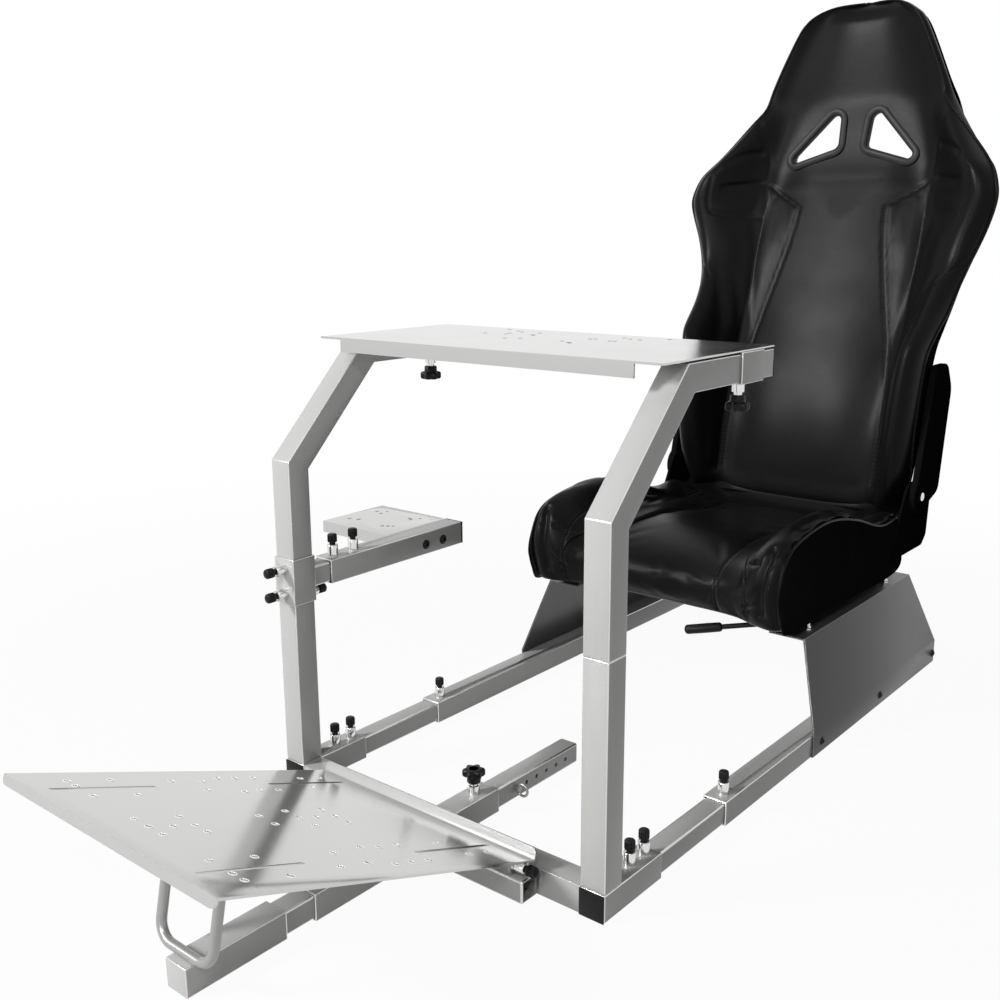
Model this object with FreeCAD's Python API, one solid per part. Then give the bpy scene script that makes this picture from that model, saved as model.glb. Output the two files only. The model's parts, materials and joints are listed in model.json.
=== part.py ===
import FreeCAD, Part
import math
import os

V = FreeCAD.Vector
UP = (0, 0, 1)
DOWN = (0, 0, -1)

# A racing simulator cockpit: a frame of square steel tube, a bucket seat on sliders, a tilting
# pedal plate, a steering wheel deck and an outboard shifter tray.  Millimetres, +Z up.
# The driver faces -Y and the driver's left is +X.  The origin is on the floor, under the middle
# of the front cross tube.

# Square tube stock and the sliding fits between tubes
TUBE = 38.0
WALL = 2.5
SLIP = 0.4
COLLAR_WALL = 2.0
COLLAR_SLIP = 0.3
CAP_THICK = 3.5
CAP_PLUG = 14.0
CAP_SLIP = 0.2

# Clamping screws: a welded collar nut with a knurled thumb cap on a narrower neck, or a star knob
NUT_R = 8.0
NUT_TALL = 18.0
ROUND_SIDES = 12
THUMB_NECK_R = 4.5
THUMB_NECK = 4.0
THUMB_R = 7.5
THUMB_TALL = 13.0
THUMB_KNURLS = 16
STAR_R = 17.0
STAR_DIP = 4.5
STAR_TALL = 13.0
STAR_LOBES = 6
STAR_STEPS = 6
STAR_NECK_R = 10.0
STAR_NECK_TALL = 9.0
STUD_R = 5.0

# Front frame
FRAME_WIDTH = 605.0
SLEEVE_LENGTH = 134.0
SLEEVE_SCREW_INSETS = (16.0, 50.0)
POST_SEAM_Z = 347.0
ARM_BEND_Z = 518.0
ARM_RUN = 164.0
ARM_TOP_Z = 686.0
ARM_REACH = 389.0
GUIDE_LENGTH = 97.0
GUIDE_KNOB_INSET = 35.0

# Seat frame that slides on the inner rails
RAIL_GAP = 174.0
INNER_RAIL_ENGAGED = 220.0
RAIL_LENGTH = 843.0
RAIL_SCREW_INSET = 25.0
SHEET = 3.0
BRACKET_LENGTH = 556.5
BRACKET_STRIP = 44.0
BRACKET_LEAN = 42.0
BRACKET_TALL = 186.0
BRACKET_TOP_FRONT = 36.0
BRACKET_TOP_REAR = 55.0

# Seat sliders
SLIDER_SPAN = 435.0
SLIDER_WIDTH = 36.0
SLIDER_CHANNEL_TALL = 11.0
SLIDER_TALL = 17.0
SLIDER_WALL = 2.0
SLIDER_LIP = 7.0
SLIDER_SLIP = 0.4
SLIDER_LENGTH = 400.0
SLIDER_FRONT_INSET = 6.0
PAN_THICK = 2.0
PAN_FRONT_INSET = 45.0
PAN_REAR_INSET = 5.0
PAN_SIDE_INSET = 18.5

# Cushion, from the front of the bracket and the top of the seat pan
CUSHION_HALF = 150.0
BOLSTER_CROWN = 212.0
BOLSTER_PIPING = 238.0
BOLSTER_OUTER = 254.0
CUSHION_FRONT = -14.0
CUSHION_REAR = 515.0
CUSHION_CREST = 104.0
CUSHION_TAIL = 75.0
BOLSTER_FRONT = -46.0
BOLSTER_REAR = 462.0
BOLSTER_CREST = 171.0
BOLSTER_TAIL = 112.0
BOLSTER_ROUND = 16.0
NOSE_ROLL = 40.0
SIDE_STEPS = 15

# Slide release lever under the front of the cushion
LEVER_ROD_R = 4.5
LEVER_GRIP_R = 7.5
LEVER_GRIP_LENGTH = 85.0
LEVER_BARREL_R = 6.0
LEVER_BARREL = 18.0
LEVER_ROOT_X = 185.0
LEVER_REACH_X = 110.0
LEVER_REACH_Y = 60.0
LEVER_DROP = 18.0
LEVER_SEAT_GAP = 0.3

# Backrest, from the recline pivot
PIVOT_BACK = 504.0
PIVOT_UP = 138.0
BACK_SPLIT = 642.0
BACK_VALLEY = 172.0
PAD_THICK = 55.0
PAD_FOOT = 52.0
PAD_FOOT_FRONT = 18.0
PAD_FOOT_CLEAR = 6.0
HEAD_THICK = 58.0
HEAD_EDGE = 12.0
SHELL_THICK = 14.0
SHELL_EDGE = 6.0
SHELL_TAPER = 22.0
WING_EDGE = 24.0
SOFT_GAP = 0.3

# Recliner side plates
RECLINER_PLATE = 5.0
RECLINER_COVER = 13.0
RECLINER_GAP = 0.5
RECLINER_R = 34.0
RECLINER_PIN_R = 12.0
RECLINER_PIN_TALL = 5.0
COVER_RISE = 248.0
COVER_TOP_FRONT = 33.0
COVER_TOP_BACK = 94.0
COVER_SHOULDER = (126.0, 196.0)
COVER_WAIST = (95.0, -4.0)
COVER_FRONT = (-20.0, 22.0)
PLATE_FOOT_FRONT = 106.0
PLATE_FOOT_REAR = 66.0
PLATE_FOOT_DROP = 112.0
PLATE_HEEL_BACK = 92.0
PLATE_HEEL_DROP = 72.0

# Harness openings in the headrest: corners of the triangle, from the middle and from the headrest's foot
HARNESS_TOP = (33.0, 109.0)
HARNESS_OUTER = (149.0, -12.0)
HARNESS_INNER = (34.0, 19.0)
HARNESS_ROUND = 8.0
HARNESS_FLAT = 0.5
BEZEL_WIDTH = 12.0
BEZEL_ROUND = 10.0
BEZEL_PROUD = 4.0

# Steering wheel deck
DECK_DEPTH = 283.0
DECK_FLANGE = 18.0
DECK_SLEEVE_LENGTH = 61.0
DECK_SLEEVE_INSET = 32.0
DECK_FLANGE_GAP = 5.0
WHEEL_HOLE_R = 3.5
WHEEL_HOLES_X = 116.0
WHEEL_HOLES_Y = 66.0
WHEEL_HOLES_BACK = 174.0
WHEEL_SIDE_X = 200.0
WHEEL_SIDE_Y = 40.0
WHEEL_SIDE_BACK = 215.0

# Shifter arm on the driver's right
CLAMP_Z = 334.0
CLAMP_TALL = 72.0
CLAMP_SCREW_RISE = 19.0
CLAMP_REAR_DROP = 28.0
STUB_LENGTH = 149.0
ARM_GAP = 34.0
ARM_LENGTH = 302.0
ARM_SCREW_INSETS = (21.0, 64.0)
TRAY_WIDTH = 158.0
TRAY_LENGTH = 144.0
TRAY_FLANGE = 20.0
TRAY_BEND = 5.0
TRAY_HOLE_R = 3.25
TRAY_HOLES_X = 74.0
TRAY_HOLES_Y = 56.0

# Pedal carriage, foot and plate
PEDAL_GAP = 4.8
PEDAL_CROSS_HALF = 200.0
SLIDE_TUBE_REACH = 318.0
SLIDE_HOLE_R = 3.5
SLIDE_HOLE_PITCH = 25.0
SLIDE_HOLE_COUNT = 6
SLIDE_HOLE_INSET = 32.0
RING_R = 11.0
RING_WIRE = 3.5
RING_SIDES = 20
RING_GAP = 1.0
PIN_R = 3.4
PIN_TIP = 2.0
FOOT_GUIDE_LENGTH = 188.0
FOOT_KNOB_INSET = 24.0
FOOT_GAP = 46.0
FOOT_LENGTH = 146.0
FOOT_ENGAGED = 110.0
LEG_R = 6.5
LEG_HALF = 50.0
LEG_BEND_R = 24.0
LEG_BEND_STEPS = 6
LEG_INSET = 14.0
LEG_LEAN = 12.0
LEG_CLEAR = 1.3
HINGE_PIN_R = 4.0
HINGE_PIN_SLIP = 0.08
HINGE_EAR_R = 9.0
HINGE_EAR_GAP = 0.9
HINGE_LUG_X = 170.0
HINGE_LUG = 6.0
HINGE_SIDE_GAP = 0.5
HINGE_NUT = 14.0
PLATE_HALF = 200.0
PLATE_LENGTH = 515.0
PLATE_TILT = 20.9
PLATE_REAR = 5.0
PLATE_OVER_HINGE = 10.5
PLATE_FLANGE = 12.0
PLATE_LIP = 18.0
PLATE_ROUND = 8.0
PLATE_SLOT_X = 138.0
PLATE_SLOT_WIDTH = 6.0
PLATE_SLOT_LENGTH = 146.0
PLATE_SLOT_STARTS = (14.0, 343.0)
PLATE_HOLE_R = 3.5
PLATE_HOLES_X = (27.0, 109.0)
PLATE_HOLES_ALONG = (389.0, 449.0)

# Places worked out from the sizes above
HALF_TUBE = TUBE / 2
INNER = TUBE - 2 * (WALL + SLIP)
COLLAR = TUBE + 2 * (COLLAR_SLIP + COLLAR_WALL)
RAIL_X = FRAME_WIDTH / 2 - HALF_TUBE
SLEEVE_END = SLEEVE_LENGTH - HALF_TUBE
RAIL_START = SLEEVE_END + RAIL_GAP
RAIL_END = RAIL_START + RAIL_LENGTH
BRACKET_FRONT = RAIL_END - BRACKET_LENGTH
SLIDER_X = SLIDER_SPAN / 2
SEAT_Z = BRACKET_TALL + SLIDER_TALL + PAN_THICK
PAN_FRONT = BRACKET_FRONT + CUSHION_FRONT + PAN_FRONT_INSET
PIVOT_Y = BRACKET_FRONT + PIVOT_BACK
PIVOT_Z = SEAT_Z + PIVOT_UP
ARM_END = ARM_REACH - HALF_TUBE
DECK_Z = ARM_TOP_Z + COLLAR_SLIP + COLLAR_WALL
COVER_INSIDE = BOLSTER_OUTER + 2 * RECLINER_GAP + RECLINER_PLATE
TILT = math.radians(PLATE_TILT)


def box(x0, x1, y0, y1, z0, z1):
    return Part.makeBox(x1 - x0, y1 - y0, z1 - z0, V(x0, y0, z0))


def rod(start, direction, radius, length):
    return Part.makeCylinder(radius, length, V(*start), V(*direction))


def polyline(points):
    return Part.makePolygon([V(*p) for p in points])


def polygon(points):
    return polyline(list(points) + [points[0]])


def prism_yz(points, x0, x1):
    face = Part.Face(polygon([(x0, y, z) for y, z in points]))
    return face.extrude(V(x1 - x0, 0, 0))


def prism_xz(points, y0, y1):
    face = Part.Face(polygon([(x, y0, z) for x, z in points]))
    return face.extrude(V(0, y1 - y0, 0))


def prism_xy(points, z0, z1):
    face = Part.Face(polygon([(x, y, z0) for x, y in points]))
    return face.extrude(V(0, 0, z1 - z0))


def mirrored(shape):
    return shape.mirror(V(0, 0, 0), V(1, 0, 0))


def both_sides(shape):
    return Part.Compound([shape, mirrored(shape)])


def tube_x(x0, x1, y, z, side, wall):
    h, i = side / 2, side / 2 - wall
    return box(x0, x1, y - h, y + h, z - h, z + h).cut(box(x0, x1, y - i, y + i, z - i, z + i))


def tube_y(x, y0, y1, z, side, wall):
    h, i = side / 2, side / 2 - wall
    return box(x - h, x + h, y0, y1, z - h, z + h).cut(box(x - i, x + i, y0, y1, z - i, z + i))


def tube_z(x, y, z0, z1, side, wall):
    h, i = side / 2, side / 2 - wall
    return box(x - h, x + h, y - h, y + h, z0, z1).cut(box(x - i, x + i, y - i, y + i, z0, z1))


def offset_path(points, distance):
    """The open path moved sideways, with mitred corners."""
    moved = []
    for k, (a, b) in enumerate(points):
        before = points[max(k - 1, 0)]
        after = points[min(k + 1, len(points) - 1)]
        turns = []
        for p, q in ((before, (a, b)), ((a, b), after)):
            run = math.dist(p, q)
            if run:
                turns.append(((q[1] - p[1]) / run, -(q[0] - p[0]) / run))
        n = [sum(t[0] for t in turns) / len(turns), sum(t[1] for t in turns) / len(turns)]
        size = n[0] ** 2 + n[1] ** 2
        moved.append((a + n[0] * distance / size, b + n[1] * distance / size))
    return moved


def turned(start, direction, length, radius_at, sides):
    """A small turned piece of few sides; radius_at gives the radius at an angle round the axis."""
    axis = V(*direction)
    across = V(0, 0, 1) if abs(axis.z) < 0.5 else V(1, 0, 0)
    other = axis.cross(across)
    ring = []
    for k in range(sides):
        angle = 2 * math.pi * k / sides
        radius = radius_at(angle)
        ring.append(V(*start) + across * (radius * math.cos(angle)) + other * (radius * math.sin(angle)))
    return Part.Face(Part.makePolygon(ring + ring[:1])).extrude(axis * length)


def past(start, direction, distance):
    return tuple(a + distance * d for a, d in zip(start, direction))


def nut(start, direction):
    return turned(start, direction, NUT_TALL, lambda angle: NUT_R, ROUND_SIDES)


def thumb_cap(start, direction):
    neck = turned(start, direction, THUMB_NECK, lambda angle: THUMB_NECK_R, ROUND_SIDES)
    cap = turned(past(start, direction, THUMB_NECK), direction, THUMB_TALL, lambda angle: THUMB_R, THUMB_KNURLS)
    return neck.fuse(cap)


def thumb(start, direction):
    """The thumb cap of a nut whose foot is at start."""
    return thumb_cap(past(start, direction, NUT_TALL), direction)


def star_knob(start, direction):
    """A lobed clamping knob on its bush and stud."""
    bush = past(start, direction, NUT_TALL)
    top = past(bush, direction, STAR_NECK_TALL)
    stud = turned(start, direction, NUT_TALL, lambda angle: STUD_R, ROUND_SIDES)
    neck = turned(bush, direction, STAR_NECK_TALL, lambda angle: STAR_NECK_R, ROUND_SIDES)

    def lobed(angle):
        return STAR_R - STAR_DIP * (1 - math.cos(STAR_LOBES * angle)) / 2

    return stud.fuse([neck, turned(top, direction, STAR_TALL, lobed, STAR_LOBES * STAR_STEPS)])


def end_cap_y(x, y, z, way):
    """A black plug that closes a tube's end at y; way is the side on which its face stands."""
    h, i = TUBE / 2, TUBE / 2 - WALL - CAP_SLIP
    low, high = sorted((y, y + way * CAP_THICK))
    face = box(x - h, x + h, low, high, z - h, z + h)
    low, high = sorted((y, y - way * CAP_PLUG))
    return face.fuse(box(x - i, x + i, low, high, z - i, z + i)).removeSplitter()


def front_frame():
    window = INNER + 2 * SLIP
    inner_face = RAIL_X - HALF_TUBE
    cross = tube_x(-inner_face, inner_face, 0, HALF_TUBE, TUBE, WALL)
    passage = box(-window / 2, window / 2, -TUBE, TUBE, HALF_TUBE - window / 2, HALF_TUBE + window / 2)
    nodes = {"front_cross_tube": cross.cut(passage)}

    sleeve = tube_y(RAIL_X, -HALF_TUBE, SLEEVE_END, HALF_TUBE, TUBE, WALL)
    sleeve_screws = [SLEEVE_END - inset for inset in SLEEVE_SCREW_INSETS]
    sleeve = sleeve.fuse([nut((RAIL_X, y, TUBE), UP) for y in sleeve_screws])
    post = tube_z(RAIL_X, 0, TUBE, POST_SEAM_Z, TUBE, WALL)
    path = [(-HALF_TUBE, POST_SEAM_Z), (-HALF_TUBE, ARM_BEND_Z),
            (ARM_RUN - HALF_TUBE, ARM_TOP_Z), (ARM_END, ARM_TOP_Z)]
    outside = path + offset_path(path, TUBE)[::-1]
    inside = offset_path(path, WALL) + offset_path(path, TUBE - WALL)[::-1]
    arm = prism_yz(outside, RAIL_X - HALF_TUBE, RAIL_X + HALF_TUBE)
    arm = arm.cut(prism_yz(inside, RAIL_X - HALF_TUBE + WALL, RAIL_X + HALF_TUBE - WALL))
    rail = tube_y(RAIL_X, SLEEVE_END - RAIL_GAP / 2, RAIL_START + INNER_RAIL_ENGAGED, HALF_TUBE, INNER, WALL)
    for name, shape in (("lower_post", post), ("wheel_arm", arm)):
        nodes[name + "_left"] = shape
        nodes[name + "_right"] = mirrored(shape)
    nodes["base_sleeves"] = both_sides(sleeve)
    nodes["inner_rails"] = both_sides(rail)
    caps = [end_cap_y(RAIL_X, -HALF_TUBE, HALF_TUBE, -1),
            end_cap_y(RAIL_X, ARM_END, ARM_TOP_Z - HALF_TUBE, 1)]
    nodes["frame_end_caps"] = both_sides(Part.Compound(caps))
    thumbs = [thumb((RAIL_X, y, TUBE), UP) for y in sleeve_screws]
    nodes["sleeve_thumbscrews"] = both_sides(Part.Compound(thumbs))

    guide_end = HALF_TUBE + GUIDE_LENGTH
    nodes["pedal_guide_sleeve"] = tube_y(0, HALF_TUBE, guide_end, HALF_TUBE, TUBE, WALL)
    nodes["pedal_star_knob"] = star_knob((0, guide_end - GUIDE_KNOB_INSET, TUBE), UP)
    return nodes


def seat_frame():
    rail = tube_y(RAIL_X, RAIL_START, RAIL_END, HALF_TUBE, TUBE, WALL)
    screw_y = RAIL_START + RAIL_SCREW_INSET
    rail = rail.fuse(nut((RAIL_X, screw_y, TUBE), UP))

    foot = FRAME_WIDTH / 2
    top = foot + SHEET - BRACKET_LEAN
    section = [(foot + SHEET, 0), (foot + SHEET, BRACKET_STRIP), (top, BRACKET_TALL),
               (SLIDER_X - SLIDER_WIDTH / 2, BRACKET_TALL)]
    sheet = prism_xz(section + offset_path(section, -SHEET)[::-1], BRACKET_FRONT, RAIL_END)
    side = [(BRACKET_FRONT, 0), (BRACKET_FRONT, BRACKET_STRIP),
            (BRACKET_FRONT + BRACKET_TOP_FRONT, BRACKET_TALL),
            (RAIL_END - BRACKET_TOP_REAR, BRACKET_TALL), (RAIL_END, BRACKET_STRIP), (RAIL_END, 0)]
    bracket = sheet.common(prism_yz(side, 0, FRAME_WIDTH))

    start = BRACKET_FRONT + BRACKET_TOP_FRONT + SLIDER_FRONT_INSET
    half, lip, base = SLIDER_WIDTH / 2, SLIDER_WIDTH / 2 - SLIDER_LIP, BRACKET_TALL
    inside, lid = half - SLIDER_WALL, base + SLIDER_CHANNEL_TALL - SLIDER_WALL
    channel = [(-half, base), (half, base), (half, lid + SLIDER_WALL), (lip, lid + SLIDER_WALL), (lip, lid),
               (inside, lid), (inside, base + SLIDER_WALL), (-inside, base + SLIDER_WALL), (-inside, lid),
               (-lip, lid), (-lip, lid + SLIDER_WALL), (-half, lid + SLIDER_WALL)]
    lower = prism_xz([(SLIDER_X + x, z) for x, z in channel], start, start + SLIDER_LENGTH)
    nodes = {}
    for name, shape in (("rear_rail", rail), ("seat_bracket", bracket)):
        nodes[name + "_left"] = shape
        nodes[name + "_right"] = mirrored(shape)
    nodes["slider_channels"] = both_sides(lower)
    nodes["rail_end_caps"] = both_sides(end_cap_y(RAIL_X, RAIL_END, HALF_TUBE, 1))
    nodes["rail_thumbscrews"] = both_sides(thumb((RAIL_X, screw_y, TUBE), UP))
    return nodes


def cushion_side(front, rear, crest, tail, x0, x1):
    """The cushion's side view: a rolled nose, a crest behind it and a fall to the rear."""
    y, z = BRACKET_FRONT, SEAT_Z
    nose = [(front + NOSE_ROLL, 0), (front, 0.43 * crest), (front + 0.4 * NOSE_ROLL, 0.7 * crest),
            (front + 1.6 * NOSE_ROLL, 0.9 * crest)]
    back = [(0.3 * rear, crest), (0.56 * rear, 0.6 * crest + 0.4 * tail), (0.8 * rear, tail), (rear, tail)]
    curve = Part.BSplineCurve()
    curve.interpolate([V(x0, y + a, z + b) for a, b in nose + back])
    side = [(p.y, p.z) for p in curve.discretize(SIDE_STEPS)]
    return prism_yz(side + [(y + rear, z)], x0, x1)


def seat_base():
    start = BRACKET_FRONT + BRACKET_TOP_FRONT + SLIDER_FRONT_INSET
    foot = SLIDER_WIDTH / 2 - SLIDER_WALL - SLIDER_SLIP
    neck = SLIDER_WIDTH / 2 - SLIDER_LIP - SLIDER_SLIP
    low = BRACKET_TALL + SLIDER_WALL + SLIDER_SLIP
    ledge = BRACKET_TALL + SLIDER_CHANNEL_TALL - SLIDER_WALL - SLIDER_SLIP
    top = BRACKET_TALL + SLIDER_TALL
    tee = [(-foot, low), (foot, low), (foot, ledge), (neck, ledge), (neck, top), (-neck, top), (-neck, ledge),
           (-foot, ledge)]
    upper = prism_xz([(SLIDER_X + x, z) for x, z in tee], start, start + SLIDER_LENGTH)
    nodes = {"slider_runners": both_sides(upper)}

    pan_half = BOLSTER_OUTER - PAN_SIDE_INSET
    nodes["seat_pan"] = box(-pan_half, pan_half, PAN_FRONT, BRACKET_FRONT + CUSHION_REAR - PAN_REAR_INSET, top, SEAT_Z)
    nodes["cushion_pad"] = cushion_side(CUSHION_FRONT, CUSHION_REAR, CUSHION_CREST, CUSHION_TAIL,
                                        -CUSHION_HALF, CUSHION_HALF)
    inner, rear = CUSHION_HALF + SOFT_GAP, BRACKET_FRONT + BOLSTER_REAR
    roll = cushion_side(BOLSTER_FRONT, BOLSTER_REAR, BOLSTER_CREST, BOLSTER_TAIL, inner, BOLSTER_OUTER)
    end_view = [(inner, SEAT_Z), (inner, SEAT_Z + CUSHION_CREST), (BOLSTER_CROWN, SEAT_Z + BOLSTER_CREST),
                (BOLSTER_PIPING, SEAT_Z + BOLSTER_CREST), (BOLSTER_OUTER, SEAT_Z + BOLSTER_CREST - BOLSTER_ROUND),
                (BOLSTER_OUTER, SEAT_Z)]
    front = BRACKET_FRONT + BOLSTER_FRONT
    plan = [(inner, rear), (inner, BRACKET_FRONT + CUSHION_FRONT), (BOLSTER_CROWN, front),
            (BOLSTER_PIPING, front), (BOLSTER_OUTER, front + BOLSTER_ROUND), (BOLSTER_OUTER, rear)]
    bolster = roll.common(prism_xz(end_view, front, rear))
    bolster = bolster.common(prism_xy(plan, SEAT_Z, SEAT_Z + BOLSTER_CREST))
    nodes["cushion_bolster_left"] = bolster
    nodes["cushion_bolster_right"] = mirrored(bolster)

    inside = BOLSTER_OUTER + RECLINER_GAP
    hub = rod((inside, PIVOT_Y, PIVOT_Z), (1, 0, 0), RECLINER_R, RECLINER_PLATE)
    foot = PIVOT_Z - PLATE_FOOT_DROP
    leg = [(PIVOT_Y - PLATE_FOOT_FRONT, foot), (PIVOT_Y + PLATE_FOOT_REAR, foot),
           (PIVOT_Y + PLATE_HEEL_BACK, PIVOT_Z - PLATE_HEEL_DROP), (PIVOT_Y + RECLINER_R, PIVOT_Z),
           (PIVOT_Y - RECLINER_R, PIVOT_Z)]
    plate = hub.fuse(prism_yz(leg, inside, inside + RECLINER_PLATE)).removeSplitter()
    nodes["recliner_plates"] = both_sides(plate)
    return nodes


def lever():
    root = V(LEVER_ROOT_X, PAN_FRONT, BRACKET_TALL + SLIDER_TALL - LEVER_BARREL_R - LEVER_SEAT_GAP)
    reach = V(-LEVER_REACH_X, -LEVER_REACH_Y, -LEVER_DROP)
    way = V(reach).normalize()
    length = reach.Length
    bar = Part.makeCylinder(LEVER_ROD_R, length, root, way)
    grip = Part.makeCylinder(LEVER_GRIP_R, LEVER_GRIP_LENGTH, root + way * (length - LEVER_GRIP_LENGTH), way)
    barrel = Part.makeCylinder(LEVER_BARREL_R, LEVER_BARREL, root - V(LEVER_BARREL / 2, 0, 0), V(1, 0, 0))
    return {"slider_lever": bar.fuse([grip, barrel]).removeSplitter()}


# Stations up the backrest, from the pivot: height, front of the middle, front rim of the wing, half width
# at the rim, where the wing's side turns in, half width at the back
BACK_STATIONS = (
    (-32.0, 15.0, -20.0, 236.0, 52.0, 205.0),
    (89.0, 35.0, -52.0, 250.0, 78.0, 203.0),
    (COVER_RISE, 80.0, -41.0, COVER_INSIDE - SOFT_GAP, 122.0, 198.0),
    (337.0, 108.0, 17.0, 264.0, 96.0, 200.0),
    (427.0, 143.0, 87.0, 281.0, 132.0, 210.0),
    (487.0, 160.0, 101.0, 300.0, 150.0, 222.0),
    (559.0, 181.0, 104.0, 316.0, 150.0, 215.0),
    (609.0, 198.0, 110.0, 308.0, 165.0, 212.0),
    (BACK_SPLIT, 209.0, 128.0, 282.0, 190.0, 208.0),
)
# Stations up the headrest, from its foot: height, front of the middle, half width of the flat middle, front
# rim of the side, half width at the rim, half width at the back
HEAD_STATIONS = (
    (SOFT_GAP, 209.0, 172.0, 128.0, 282.0, 206.0),
    (53.0, 220.0, 168.0, 168.0, 238.0, 198.0),
    (98.0, 230.0, 158.0, 194.0, 207.0, 180.0),
    (148.0, 238.0, 128.0, 206.0, 183.0, 158.0),
    (198.0, 243.0, 108.0, 211.0, 161.0, 138.0),
    (246.0, 248.0, 92.0, 213.0, 136.0, 114.0),
    (281.0, 252.0, 70.0, 222.0, 106.0, 88.0),
    (300.0, 256.0, 40.0, 238.0, 70.0, 52.0),
    (308.0, 264.0, 14.0, 258.0, 24.0, 16.0),
)


def section_xy(points, z):
    return [V(x, PIVOT_Y + y, PIVOT_Z + z) for x, y in points]


def skin(sections):
    """A solid with flat facets from one section to the next, and flat ends."""
    faces = [Part.Face(Part.makePolygon(ring + ring[:1])) for ring in (sections[0], sections[-1])]
    for low, high in zip(sections, sections[1:]):
        for k in range(len(low)):
            a, b, c, d = low[k - 1], low[k], high[k], high[k - 1]
            faces += [Part.Face(Part.makePolygon(list(corners))) for corners in ((a, b, c, a), (a, c, d, a))]
    return Part.Solid(Part.Shell(faces))


def rounded_triangle(grow, radius, y):
    """The harness opening's outline, grown outward and with its corners rounded, on the plane at y."""
    foot = PIVOT_Z + BACK_SPLIT
    corners = [V(a, y, foot + b) for a, b in (HARNESS_TOP, HARNESS_OUTER, HARNESS_INNER)]
    face = Part.Face(Part.makePolygon(corners + [corners[0]]))
    outline = face.makeOffset2D(grow - radius, join=2).makeOffset2D(radius)
    points = outline.OuterWire.discretize(QuasiDeflection=HARNESS_FLAT)
    return Part.Face(Part.makePolygon(points[:-1] + points[:1]))


def head_band(near, far):
    """The side view of the headrest's middle between two distances behind its front, with the pad's top below."""
    fronts = [BACK_STATIONS[-2][:2]] + [(BACK_SPLIT + rise, front) for rise, front, *_ in HEAD_STATIONS]
    side = [(PIVOT_Y + f + near, PIVOT_Z + z) for z, f in fronts]
    side += [(PIVOT_Y + f + far, PIVOT_Z + z) for z, f in fronts[::-1]]
    return prism_yz(side, -FRAME_WIDTH / 2, FRAME_WIDTH / 2)


def headrest(holes):
    rings = []
    for rise, f, v, g, o, b in HEAD_STATIONS:
        edge = min(HEAD_EDGE, (o - v) / 2)
        half = [(v, f), (o - edge, g), (o, g + edge), (b, f + HEAD_THICK)]
        rings.append(section_xy(half + [(-x, y) for x, y in half[::-1]], BACK_SPLIT + rise))
    return skin(rings).cut(holes)


def backrest():
    v, t = BACK_VALLEY, PAD_THICK
    sweep = PIVOT_UP - CUSHION_TAIL - PAD_FOOT_CLEAR
    pad = []
    for z, f in [(-PAD_FOOT, PAD_FOOT_FRONT)] + [station[:2] for station in BACK_STATIONS]:
        rear = f + t if z > 0 else math.sqrt(sweep ** 2 - z ** 2)
        pad.append(section_xy([(-v, f), (v, f), (v, rear), (-v, rear)], z))
    holes = both_sides(rounded_triangle(0, HARNESS_ROUND, PIVOT_Y).extrude(V(0, PIVOT_BACK, 0)))
    nodes = {"backrest_pad": skin(pad).cut(holes)}
    side = v + SOFT_GAP
    wing = skin([section_xy([(side, f), (o - WING_EDGE, g), (o, g + WING_EDGE), (o, s), (b, f + t), (side, f + t)], z)
                 for z, f, g, o, s, b in BACK_STATIONS])
    nodes["backrest_wing_left"] = wing
    nodes["backrest_wing_right"] = mirrored(wing)
    near, far = t + SOFT_GAP, t + SHELL_THICK
    nodes["backrest_shell"] = skin([
        section_xy([(SHELL_EDGE - b, f + near), (b - SHELL_EDGE, f + near),
                    (b - SHELL_TAPER, f + far), (SHELL_TAPER - b, f + far)], z)
        for z, f, _, _, _, b in BACK_STATIONS]).cut(holes)

    nodes["headrest_pad"] = headrest(holes)
    ring = rounded_triangle(BEZEL_WIDTH, BEZEL_ROUND, PIVOT_Y).extrude(V(0, PIVOT_BACK, 0))
    ring = ring.common(head_band(-SOFT_GAP - BEZEL_PROUD, -SOFT_GAP)).cut(holes)
    nodes["harness_bezels"] = both_sides(ring)

    inside = COVER_INSIDE
    hub = rod((inside, PIVOT_Y, PIVOT_Z), (1, 0, 0), RECLINER_R, RECLINER_COVER)
    outline = [COVER_FRONT, (0, -RECLINER_R), COVER_WAIST, COVER_SHOULDER, (COVER_TOP_BACK, COVER_RISE),
               (COVER_TOP_FRONT, COVER_RISE)]
    arm = [(PIVOT_Y + y, PIVOT_Z + z) for y, z in outline]
    cover = hub.fuse(prism_yz(arm, inside, inside + RECLINER_COVER)).removeSplitter()
    nodes["recliner_covers"] = both_sides(cover)
    pin = turned((inside + RECLINER_COVER, PIVOT_Y, PIVOT_Z), (1, 0, 0), RECLINER_PIN_TALL,
                 lambda angle: RECLINER_PIN_R, ROUND_SIDES)
    nodes["recliner_pins"] = both_sides(pin)
    return nodes


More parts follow.
